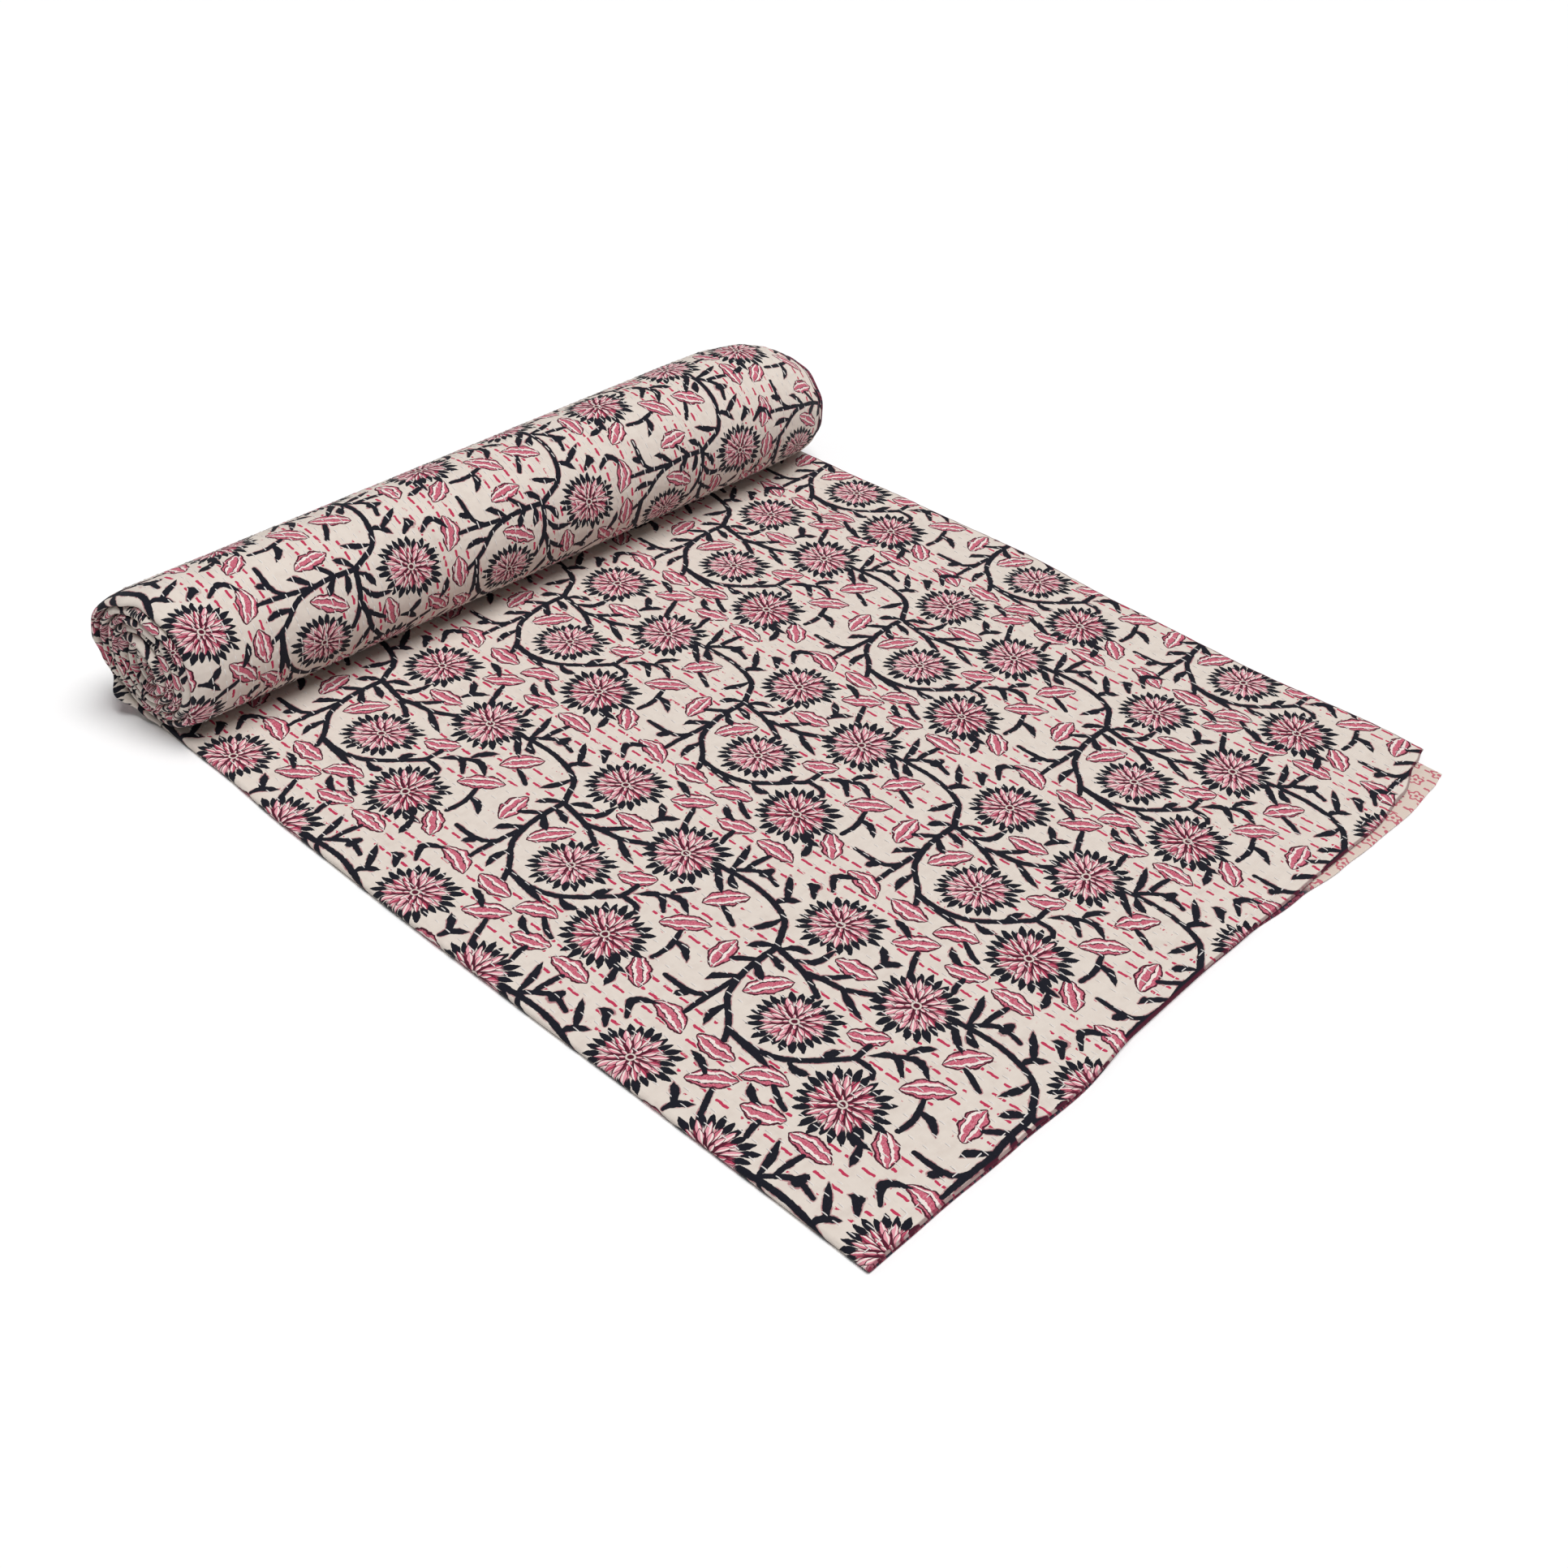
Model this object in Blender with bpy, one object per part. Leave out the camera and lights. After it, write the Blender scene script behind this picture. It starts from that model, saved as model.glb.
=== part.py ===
"""A kantha quilt, folded in half along its length, rolled up from one end, its other end lying flat.

The quilt is one piece of cloth, so it is one solid. Its section along X is a hairpin: a lower and an
upper leaf, a little apart, joined by the round fold along the -Y edge. Towards -X both leaves run
under the roll, up its back, over its top and down its front. The roll is solid, with its outer
turn's step and the main turns showing on its two ends.

Local axes while the shape is worked out: X from the line under the roll's centre (0) to the free
hem, Y from the folded edge (0) to the open edges, Z up from the surface the quilt lies on.
"""

import math
from collections import namedtuple

import bmesh
import bpy
import numpy as np

# Sizes, in metres
WIDTH = 0.762  # folded edge to open edges, half of the quilt's full width
FLAT_RUN = 0.765  # line under the roll's centre to the free hem
LEAF = 0.0023  # one leaf: printed face and backing, quilted together
LEAF_GAP = 0.0012  # air between the two leaves
ROLL_RADIUS_FOLD = 0.0648  # outer turn's radius under the roll, at the folded edge
ROLL_RADIUS_OPEN = 0.0722  # the same at the open edges, where the roll is fatter
AXIS_SKEW = 0.0074  # how far the roll's centre line drifts towards the hem across the width
TURN = 0.0065  # how much the outer turn spirals in over one turn
SLOT_START = 0.050  # from the roll's centre line to where the leaves part
SLOT_SIDE = 0.0040  # from the folded edge to where the leaves part
END_BLEND = 0.080  # stretch over which the roll's folded end takes its uneven reach

# Roll ends: turns that show, how deep the creases between them are, how far the middle bulges
END_TURNS = 4.5
FOLD_CREASE = 0.0042
FOLD_BULGE = 0.004
OPEN_CREASE = 0.0026
OPEN_BULGE = -0.003
TURN_ROUNDNESS = 0.6  # power that makes the turns full and the creases between them narrow
CREASE_FADE_RINGS = 2.0  # rings over which the creases fade towards the rim

# Pleats of the outer turn where it is drawn in at the open end
PLEATS = 9
PLEAT_DEPTH = 0.0011
PLEAT_RUN = 0.10

# Mesh density
ROLL_STEPS = 44  # round the roll
END_RINGS = 18  # from an end's rim to its middle
SOLID_STEPS = 2  # along the loose end, from the roll to where the leaves part
LEAF_STEPS = 13  # along the loose end, from there to the hem
NIP_ANGLE = 350.0  # where the front of the roll meets the loose end, in degrees

# Lines across the quilt on which its section is drawn, from the open edges to the folded edge
ACROSS = (
    0.762, 0.759, 0.753, 0.741, 0.722, 0.695, 0.655, 0.605, 0.545, 0.480, 0.415, 0.350,
    0.285, 0.220, 0.155, 0.100, 0.060, 0.034, 0.018, 0.009, 0.004, 0.0016, 0.0,
)  # fmt: skip

# Free hem: how far each leaf reaches past the nominal hem, across the width
HemRow = namedtuple("HemRow", "across upper lower")
HEM = (
    HemRow(0.000, -0.001, -0.001),
    HemRow(0.060, 0.000, 0.000),
    HemRow(0.150, 0.003, 0.003),
    HemRow(0.223, 0.006, 0.006),
    HemRow(0.300, 0.000, 0.000),
    HemRow(0.380, -0.003, -0.002),
    HemRow(0.450, -0.001, 0.000),
    HemRow(0.520, 0.002, 0.006),
    HemRow(0.580, 0.004, 0.010),
    HemRow(0.634, 0.006, 0.015),
    HemRow(0.690, 0.002, 0.020),
    HemRow(0.740, -0.009, 0.016),
    HemRow(0.762, -0.013, 0.013),
)

# Long edges: how far the folded edge bulges out, and where each leaf's open edge lies
SideRow = namedtuple("SideRow", "along fold_out upper_open lower_open")
SIDES = (
    SideRow(0.000, 0.000, 0.755, 0.754),
    SideRow(0.080, 0.000, 0.757, 0.754),
    SideRow(0.180, 0.004, 0.762, 0.756),
    SideRow(0.320, 0.005, 0.766, 0.757),
    SideRow(0.440, 0.004, 0.759, 0.754),
    SideRow(0.580, 0.002, 0.756, 0.750),
    SideRow(0.700, 0.001, 0.761, 0.748),
    SideRow(0.765, 0.001, 0.758, 0.744),
)

# Soft rises of the upper leaf off the lower one
RiseRow = namedtuple("RiseRow", "along across height spread")
RISES = (
    RiseRow(0.735, 0.715, 0.0024, 0.060),
    RiseRow(0.745, 0.560, 0.0012, 0.050),
    RiseRow(0.760, 0.225, 0.0010, 0.055),
    RiseRow(0.330, 0.020, 0.0014, 0.110),
    RiseRow(0.400, 0.420, 0.0008, 0.120),
    RiseRow(0.180, 0.640, 0.0010, 0.090),
)

# Roll at the folded end: how far the turns reach past the folded edge, by angle round the roll
# from the bottom, over the back. The loose end's lobe is parted from the rest by a notch.
FoldEndRow = namedtuple("FoldEndRow", "angle reach")
FOLD_END = (
    FoldEndRow(0.0, 0.001),
    FoldEndRow(22.0, 0.006),
    FoldEndRow(42.0, 0.016),
    FoldEndRow(58.0, 0.009),
    FoldEndRow(75.0, 0.012),
    FoldEndRow(100.0, 0.017),
    FoldEndRow(132.0, 0.018),
    FoldEndRow(160.0, 0.010),
    FoldEndRow(182.0, 0.002),
    FoldEndRow(230.0, -0.003),
    FoldEndRow(300.0, -0.001),
    FoldEndRow(350.0, 0.001),
)

# Roll's size, as a share of its full radius, by the distance from each end
EndRow = namedtuple("EndRow", "inside share")
OPEN_NOSE = (
    EndRow(0.000, 0.640),
    EndRow(0.003, 0.700),
    EndRow(0.009, 0.745),
    EndRow(0.021, 0.805),
    EndRow(0.040, 0.880),
    EndRow(0.067, 0.952),
    EndRow(0.107, 0.992),
    EndRow(0.157, 1.000),
)
FOLD_NOSE = (
    EndRow(0.000, 0.860),
    EndRow(0.0016, 0.915),
    EndRow(0.004, 0.950),
    EndRow(0.009, 0.982),
    EndRow(0.018, 1.000),
)

# Share of the loose end's thickness, near the folded edge, where the fold rounds off
FOLD_ROUND = (
    EndRow(0.000, 0.34),
    EndRow(0.0016, 0.78),
    EndRow(0.004, 0.97),
    EndRow(0.009, 1.00),
)

CLOTH_COLOUR = (0.66, 0.53, 0.50, 1.0)
CLOTH_ROUGHNESS = 0.92
SHARP_EDGE = 50.0  # degrees between two faces from which their edge is drawn sharp


def clear_scene():
    """Removes the objects that the scene starts with."""
    for thing in list(bpy.data.objects):
        bpy.data.objects.remove(thing, do_unlink=True)


def read_rows(rows, key, column, at):
    """The column's value at a key, eased between the rows on either side of it."""
    keys = [getattr(row, key) for row in rows]
    values = [getattr(row, column) for row in rows]
    if at <= keys[0]:
        return values[0]
    for left in range(len(rows) - 1):
        if at <= keys[left + 1]:
            share = (at - keys[left]) / (keys[left + 1] - keys[left])
            ease = 0.5 - 0.5 * math.cos(math.pi * share)
            return values[left] + ease * (values[left + 1] - values[left])
    return values[-1]


def read_straight(rows, key, column, at):
    """The column's value at a key, on straight lines between the rows."""
    keys = [getattr(row, key) for row in rows]
    values = [getattr(row, column) for row in rows]
    return float(np.interp(at, keys, values))


def rise(along, across):
    """How far the upper leaf lifts off the lower one at a place."""
    height = 0.0
    for row in RISES:
        away = math.hypot(along - row.along, across - row.across) / row.spread
        height += row.height * math.exp(-away * away)
    return height


def roll_radius(across):
    """Radius of the outer turn under the roll."""
    return ROLL_RADIUS_FOLD + (ROLL_RADIUS_OPEN - ROLL_RADIUS_FOLD) * across / WIDTH


def roll_point(angle, across):
    """A point on the outer turn, by its angle from the bottom over the back, in degrees."""
    turn = math.radians(angle)
    full = roll_radius(across)
    nose = read_straight(OPEN_NOSE, "inside", "share", WIDTH - across)
    pleat_share = max(0.0, 1.0 - (WIDTH - across) / PLEAT_RUN)
    away_from_base = math.sqrt(abs(math.sin(turn / 2.0)))
    pleat = PLEAT_DEPTH * pleat_share * math.sin(PLEATS * turn) * away_from_base
    radius = full - TURN * turn / (2.0 * math.pi) + pleat
    drawn_in = (1.0 - read_straight(FOLD_NOSE, "inside", "share", across)) * away_from_base
    radius *= 1.0 - drawn_in
    x = AXIS_SKEW * across / WIDTH - nose * radius * math.sin(turn)
    z = nose * (full - radius * math.cos(turn))
    near_end = max(0.0, 1.0 - across / END_BLEND) ** 2
    y = across - near_end * read_rows(FOLD_END, "angle", "reach", angle)
    return (x, y, max(z, 0.0))


def loose_along(step, across, leaf):
    """Distance from the roll's centre line of a section point on the loose end."""
    skew = AXIS_SKEW * across / WIDTH
    if step <= SOLID_STEPS:
        start = roll_point(NIP_ANGLE, across)[0] if leaf == "upper" else skew
        return start + (SLOT_START - start) * step / SOLID_STEPS
    share = (step - SOLID_STEPS) / LEAF_STEPS
    hem = FLAT_RUN + read_rows(HEM, "across", leaf, across)
    return SLOT_START + (hem - SLOT_START) * share


def loose_point(step, across, leaf, face):
    """A section point on the loose end: leaf is upper or lower, face is outer or inner."""
    x = loose_along(step, across, leaf)
    fold = -read_rows(SIDES, "along", "fold_out", x)
    edge = read_rows(SIDES, "along", f"{leaf}_open", x)
    y = fold + (edge - fold) * across / WIDTH
    if leaf == "lower":
        z = 0.0 if face == "outer" else LEAF
    else:
        z = LEAF + LEAF_GAP + rise(x, across)
        z += LEAF if face == "outer" else 0.0
    if face == "outer":
        middle = LEAF + LEAF_GAP / 2.0
        z = middle + (z - middle) * read_straight(FOLD_ROUND, "inside", "share", across)
    return (x, y, z)


def roll_end(mesh, rim, centre, sign, crease, bulge):
    """Closes an end of the roll with rings that show its main turns, from a rim to its middle."""
    count = len(rim)
    places = [np.array(vert.co) for vert in rim]
    rings = [rim]
    for ring in range(1, END_RINGS):
        share = 1.0 - ring / END_RINGS
        row = []
        for index, place in enumerate(places):
            turned = share * END_TURNS + index / count
            hump = abs(math.sin(math.pi * turned)) ** TURN_ROUNDNESS
            fade = min(1.0, ring / CREASE_FADE_RINGS)
            spot = centre + (place - centre) * share
            swell = bulge * (1.0 - share**2) - crease * (1.0 - hump) * fade
            spot[1] += sign * swell
            row.append(mesh.verts.new(spot))
        rings.append(row)
    for outer, inner in zip(rings, rings[1:]):
        for index in range(count):
            following = (index + 1) % count
            mesh.faces.new((outer[index], outer[following], inner[following], inner[index]))
    middle = mesh.verts.new(centre + np.array((0.0, sign * bulge, 0.0)))
    for index in range(count):
        mesh.faces.new((rings[-1][index], rings[-1][(index + 1) % count], middle))


def strip(mesh, first, second):
    """Quads between two rows of as many vertices."""
    for index in range(len(first) - 1):
        mesh.faces.new((first[index], first[index + 1], second[index + 1], second[index]))


def quilt_mesh():
    """The whole quilt as one closed mesh, drawn section by section across its width."""
    mesh = bmesh.new()
    last_step = SOLID_STEPS + LEAF_STEPS
    angles = [NIP_ANGLE * index / ROLL_STEPS for index in range(ROLL_STEPS + 1)]
    bottoms, rounds, tops, slots = [], [], [], []
    for across in ACROSS:
        rounds.append([mesh.verts.new(roll_point(angle, across)) for angle in angles])
        bottom = [rounds[-1][0]]
        top = [rounds[-1][-1]]
        for step in range(1, last_step + 1):
            bottom.append(mesh.verts.new(loose_point(step, across, "lower", "outer")))
            top.append(mesh.verts.new(loose_point(step, across, "upper", "outer")))
        bottoms.append(bottom)
        tops.append(top)
        # Between the leaves: the upper leaf's inner face and the lower leaf's, from the slot's
        # closed end to the hem. Past the slot's side only the two points on the hem are left.
        open_here = across >= SLOT_SIDE
        first = SOLID_STEPS if open_here else last_step
        inner = []
        for leaf in ("upper", "lower"):
            steps = range(first, last_step + 1)
            inner.append([mesh.verts.new(loose_point(step, across, leaf, "inner")) for step in steps])
        if not open_here:
            shrink = read_straight(FOLD_ROUND, "inside", "share", across)
            middle = LEAF + LEAF_GAP / 2.0
            for row in inner:
                row[0].co.z = middle + (row[0].co.z - middle) * shrink
        slots.append(inner)

    closing = ACROSS.index(SLOT_SIDE)
    for here in range(len(ACROSS) - 1):
        after = here + 1
        strip(mesh, bottoms[here], bottoms[after])
        strip(mesh, rounds[here], rounds[after])
        strip(mesh, tops[here], tops[after])
        upper, lower = slots[here]
        next_upper, next_lower = slots[after]
        strip(mesh, (tops[here][-1], upper[-1]), (tops[after][-1], next_upper[-1]))
        strip(mesh, (lower[-1], bottoms[here][-1]), (next_lower[-1], bottoms[after][-1]))
        if after <= closing:
            strip(mesh, upper, next_upper)
            strip(mesh, lower, next_lower)
            strip(mesh, (upper[0], lower[0]), (next_upper[0], next_lower[0]))
        else:
            strip(mesh, (upper[-1], lower[-1]), (next_upper[-1], next_lower[-1]))
    strip(mesh, *slots[closing])

    # The open edges: the two leaves' edges, then the solid stretch between them and the roll
    upper, lower = slots[0]
    strip(mesh, tops[0][SOLID_STEPS:], upper)
    strip(mesh, bottoms[0][SOLID_STEPS:], lower)
    strip(mesh, bottoms[0][:SOLID_STEPS], tops[0][:SOLID_STEPS])
    door = (bottoms[0][SOLID_STEPS - 1], bottoms[0][SOLID_STEPS], lower[0])
    mesh.faces.new((*door, upper[0], tops[0][SOLID_STEPS], tops[0][SOLID_STEPS - 1]))

    # The folded edge: one strip, up to the hem's two points
    strip(mesh, bottoms[-1][:last_step], tops[-1][:last_step])
    upper, lower = slots[-1]
    corner = (bottoms[-1][last_step - 1], bottoms[-1][last_step], lower[0])
    mesh.faces.new((*corner, upper[0], tops[-1][last_step], tops[-1][last_step - 1]))

    for rim, sign, crease, bulge in (
        (rounds[0], 1.0, OPEN_CREASE, OPEN_BULGE),
        (rounds[-1], -1.0, FOLD_CREASE, FOLD_BULGE),
    ):
        centre = np.mean([tuple(vert.co) for vert in rim], axis=0)
        roll_end(mesh, rim, centre, sign, crease, bulge)

    bmesh.ops.triangulate(mesh, faces=mesh.faces[:])
    bmesh.ops.recalc_face_normals(mesh, faces=mesh.faces[:])
    return mesh


def stand_on_origin(mesh):
    """Moves the mesh so that the origin is at the middle of its box's bottom face."""
    places = np.array([vert.co for vert in mesh.verts])
    low = places.min(axis=0)
    high = places.max(axis=0)
    shift = -(low + high) / 2.0
    shift[2] = -low[2]
    bmesh.ops.translate(mesh, verts=mesh.verts[:], vec=shift)


def cloth_material():
    """Plain cotton in the print's mean colour."""
    material = bpy.data.materials.new("printed_cotton")
    material.use_nodes = True
    shader = material.node_tree.nodes["Principled BSDF"]
    shader.inputs["Base Color"].default_value = CLOTH_COLOUR
    shader.inputs["Roughness"].default_value = CLOTH_ROUGHNESS
    shader.inputs["Metallic"].default_value = 0.0
    return material


def build_quilt():
    """The quilt as an object, smooth but for its cut edges."""
    shape = quilt_mesh()
    stand_on_origin(shape)
    data = bpy.data.meshes.new("quilt")
    shape.to_mesh(data)
    shape.free()
    data.materials.append(cloth_material())
    data.shade_smooth()
    data.set_sharp_from_angle(angle=math.radians(SHARP_EDGE))
    quilt = bpy.data.objects.new("quilt", data)
    bpy.context.scene.collection.objects.link(quilt)
    return quilt


def main():
    clear_scene()
    build_quilt()


if __name__ == "__main__":
    main()
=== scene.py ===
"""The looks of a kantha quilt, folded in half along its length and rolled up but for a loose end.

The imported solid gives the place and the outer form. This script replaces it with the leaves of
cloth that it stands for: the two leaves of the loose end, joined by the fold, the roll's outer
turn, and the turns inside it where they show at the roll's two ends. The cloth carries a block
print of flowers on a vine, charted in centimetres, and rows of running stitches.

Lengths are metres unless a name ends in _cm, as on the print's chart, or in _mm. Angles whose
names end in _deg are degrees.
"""

import logging
import math
from collections.abc import Callable
from dataclasses import dataclass
from enum import Enum

import bpy
import numpy as np
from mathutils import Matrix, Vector


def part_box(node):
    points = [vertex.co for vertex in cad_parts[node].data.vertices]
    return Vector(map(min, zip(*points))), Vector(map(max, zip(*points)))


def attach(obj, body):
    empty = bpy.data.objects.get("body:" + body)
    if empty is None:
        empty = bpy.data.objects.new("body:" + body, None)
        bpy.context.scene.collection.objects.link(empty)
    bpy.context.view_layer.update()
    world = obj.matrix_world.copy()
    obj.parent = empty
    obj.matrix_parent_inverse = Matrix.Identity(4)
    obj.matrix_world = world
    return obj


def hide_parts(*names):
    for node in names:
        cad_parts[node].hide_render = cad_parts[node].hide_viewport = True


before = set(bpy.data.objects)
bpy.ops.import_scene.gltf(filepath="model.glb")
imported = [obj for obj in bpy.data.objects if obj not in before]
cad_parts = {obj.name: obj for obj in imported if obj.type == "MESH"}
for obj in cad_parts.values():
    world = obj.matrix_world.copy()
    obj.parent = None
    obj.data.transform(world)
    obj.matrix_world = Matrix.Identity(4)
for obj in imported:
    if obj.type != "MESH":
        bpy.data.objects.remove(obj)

Array = np.ndarray
LOG = logging.getLogger("kantha_quilt")
BODY = "root"
SOLID = "quilt"
CM = 0.01
MM = 0.001


# ------------------------------------------------------------------ tables and the cloth's form


@dataclass(frozen=True)
class Rows:
    """A short table whose rows go up its first column, with the values between rows read off.

    Args:
        columns: the columns' names; the first is the one that is looked up.
        rows: the rows, in order.
    """

    columns: tuple[str, ...]
    rows: tuple[tuple[float, ...], ...]

    def _pair(self, column: str) -> tuple[Array, Array]:
        """The first column and the named one, as arrays."""
        table = np.array(self.rows, dtype=float)
        return table[:, 0], table[:, self.columns.index(column)]

    def straight(self, column: str, at: Array) -> Array:
        """The named column's values at these places, on straight lines between the rows."""
        return np.interp(at, *self._pair(column))

    def eased(self, column: str, at: Array) -> Array:
        """The named column's values at these places, easing in and out of each row.

        Args:
            column: the column's name.
            at: places along the first column; past its ends the end rows hold.

        Returns:
            The values, in the places' shape.
        """
        keys, values = self._pair(column)
        at = np.clip(at, keys[0], keys[-1])
        row = np.clip(np.searchsorted(keys, at, side="right") - 1, 0, len(keys) - 2)
        share = (at - keys[row]) / (keys[row + 1] - keys[row])
        share = 0.5 - 0.5 * np.cos(np.pi * share)
        return values[row] + (values[row + 1] - values[row]) * share


# How far each leaf's hem lies past the flat run, along the hem from the fold.
HEM = Rows(
    ("across", "upper", "lower"),
    (
        (0.000, -0.001, -0.001),
        (0.060, 0.000, 0.000),
        (0.150, 0.003, 0.003),
        (0.223, 0.006, 0.006),
        (0.300, 0.001, 0.000),
        (0.380, 0.001, 0.000),
        (0.450, 0.003, 0.002),
        (0.520, 0.006, 0.008),
        (0.580, 0.008, 0.014),
        (0.634, 0.010, 0.017),
        (0.690, 0.005, 0.019),
        (0.740, -0.008, 0.016),
        (0.762, -0.013, 0.013),
    ),
)

# Along the loose end: how far the fold bulges out, and where each leaf's open edge lies.
SIDES = Rows(
    ("along", "fold_out", "upper_open", "lower_open"),
    (
        (0.000, 0.000, 0.755, 0.754),
        (0.080, 0.000, 0.757, 0.754),
        (0.180, 0.004, 0.762, 0.756),
        (0.320, 0.005, 0.766, 0.757),
        (0.440, 0.004, 0.759, 0.754),
        (0.580, 0.002, 0.756, 0.750),
        (0.700, 0.001, 0.761, 0.748),
        (0.765, 0.001, 0.758, 0.744),
    ),
)

# Low swells of the upper leaf, which doesn't lie quite flat on the lower one.
RISES = (
    # along, across, height, spread
    (0.735, 0.715, 0.0024, 0.060),
    (0.745, 0.560, 0.0012, 0.050),
    (0.760, 0.225, 0.0010, 0.055),
    (0.330, 0.020, 0.0014, 0.110),
    (0.400, 0.420, 0.0008, 0.120),
    (0.180, 0.640, 0.0010, 0.090),
)

# Round the roll from its lowest line, over the back: how far the folded end reaches out.
FOLD_REACH = Rows(
    ("turn_deg", "reach"),
    (
        (0.0, 0.001),
        (22.0, 0.006),
        (42.0, 0.016),
        (58.0, 0.009),
        (75.0, 0.012),
        (100.0, 0.017),
        (132.0, 0.018),
        (160.0, 0.010),
        (182.0, 0.002),
        (230.0, -0.003),
        (300.0, -0.001),
        (350.0, 0.001),
        (400.0, 0.006),
        (430.0, 0.012),
        (490.0, 0.014),
        (540.0, 0.007),
        (600.0, 0.001),
        (700.0, 0.003),
        (790.0, 0.010),
        (870.0, 0.011),
        (960.0, 0.003),
        (1060.0, 0.006),
        (1180.0, 0.012),
        (1300.0, 0.005),
        (1450.0, 0.008),
        (1600.0, 0.012),
        (1850.0, 0.007),
        (2300.0, 0.004),
    ),
)

# How the roll's turns draw in at the folded end, and how the whole roll narrows at the open end.
FOLD_DRAW = Rows(
    ("inside", "share"),
    ((0.0, 0.925), (0.0016, 0.938), (0.004, 0.953), (0.009, 0.982), (0.018, 1.0)),
)
OPEN_NOSE = Rows(
    ("inside", "share"),
    (
        (0.000, 0.640),
        (0.003, 0.700),
        (0.009, 0.745),
        (0.021, 0.805),
        (0.040, 0.880),
        (0.067, 0.952),
        (0.107, 0.992),
        (0.157, 1.000),
    ),
)

# How far inside the roll's open end each leaf stops, round the turns from the lowest line.
OPEN_EDGES = Rows(
    ("turn_deg", "outer", "inner"),
    (
        (0.0, 0.008, 0.007),
        (60.0, 0.020, 0.016),
        (140.0, 0.024, 0.019),
        (230.0, 0.020, 0.017),
        (300.0, 0.023, 0.018),
        (360.0, 0.016, 0.012),
        (440.0, 0.010, 0.007),
        (560.0, 0.012, 0.006),
        (680.0, 0.008, 0.004),
        (800.0, 0.003, 0.001),
        (950.0, 0.005, 0.001),
        (1150.0, 0.001, 0.004),
        (1400.0, 0.004, 0.001),
        (1700.0, 0.002, 0.006),
        (2300.0, 0.004, 0.002),
    ),
)


def waves(at: Array, lengths: tuple[float, ...], start: float) -> Array:
    """A slow uneven wave from -1 to 1, the mean of sines of these wavelengths.

    Args:
        at: where it is read.
        lengths: the wavelengths, in the same units.
        start: shifts the waves against each other, so that no two places look alike.

    Returns:
        The wave's height at each place.
    """
    parts = [
        np.sin(2.0 * np.pi * at / length + start * (step + 1.7) * 2.3)
        for step, length in enumerate(lengths)
    ]
    return np.mean(parts, axis=0)


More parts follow.
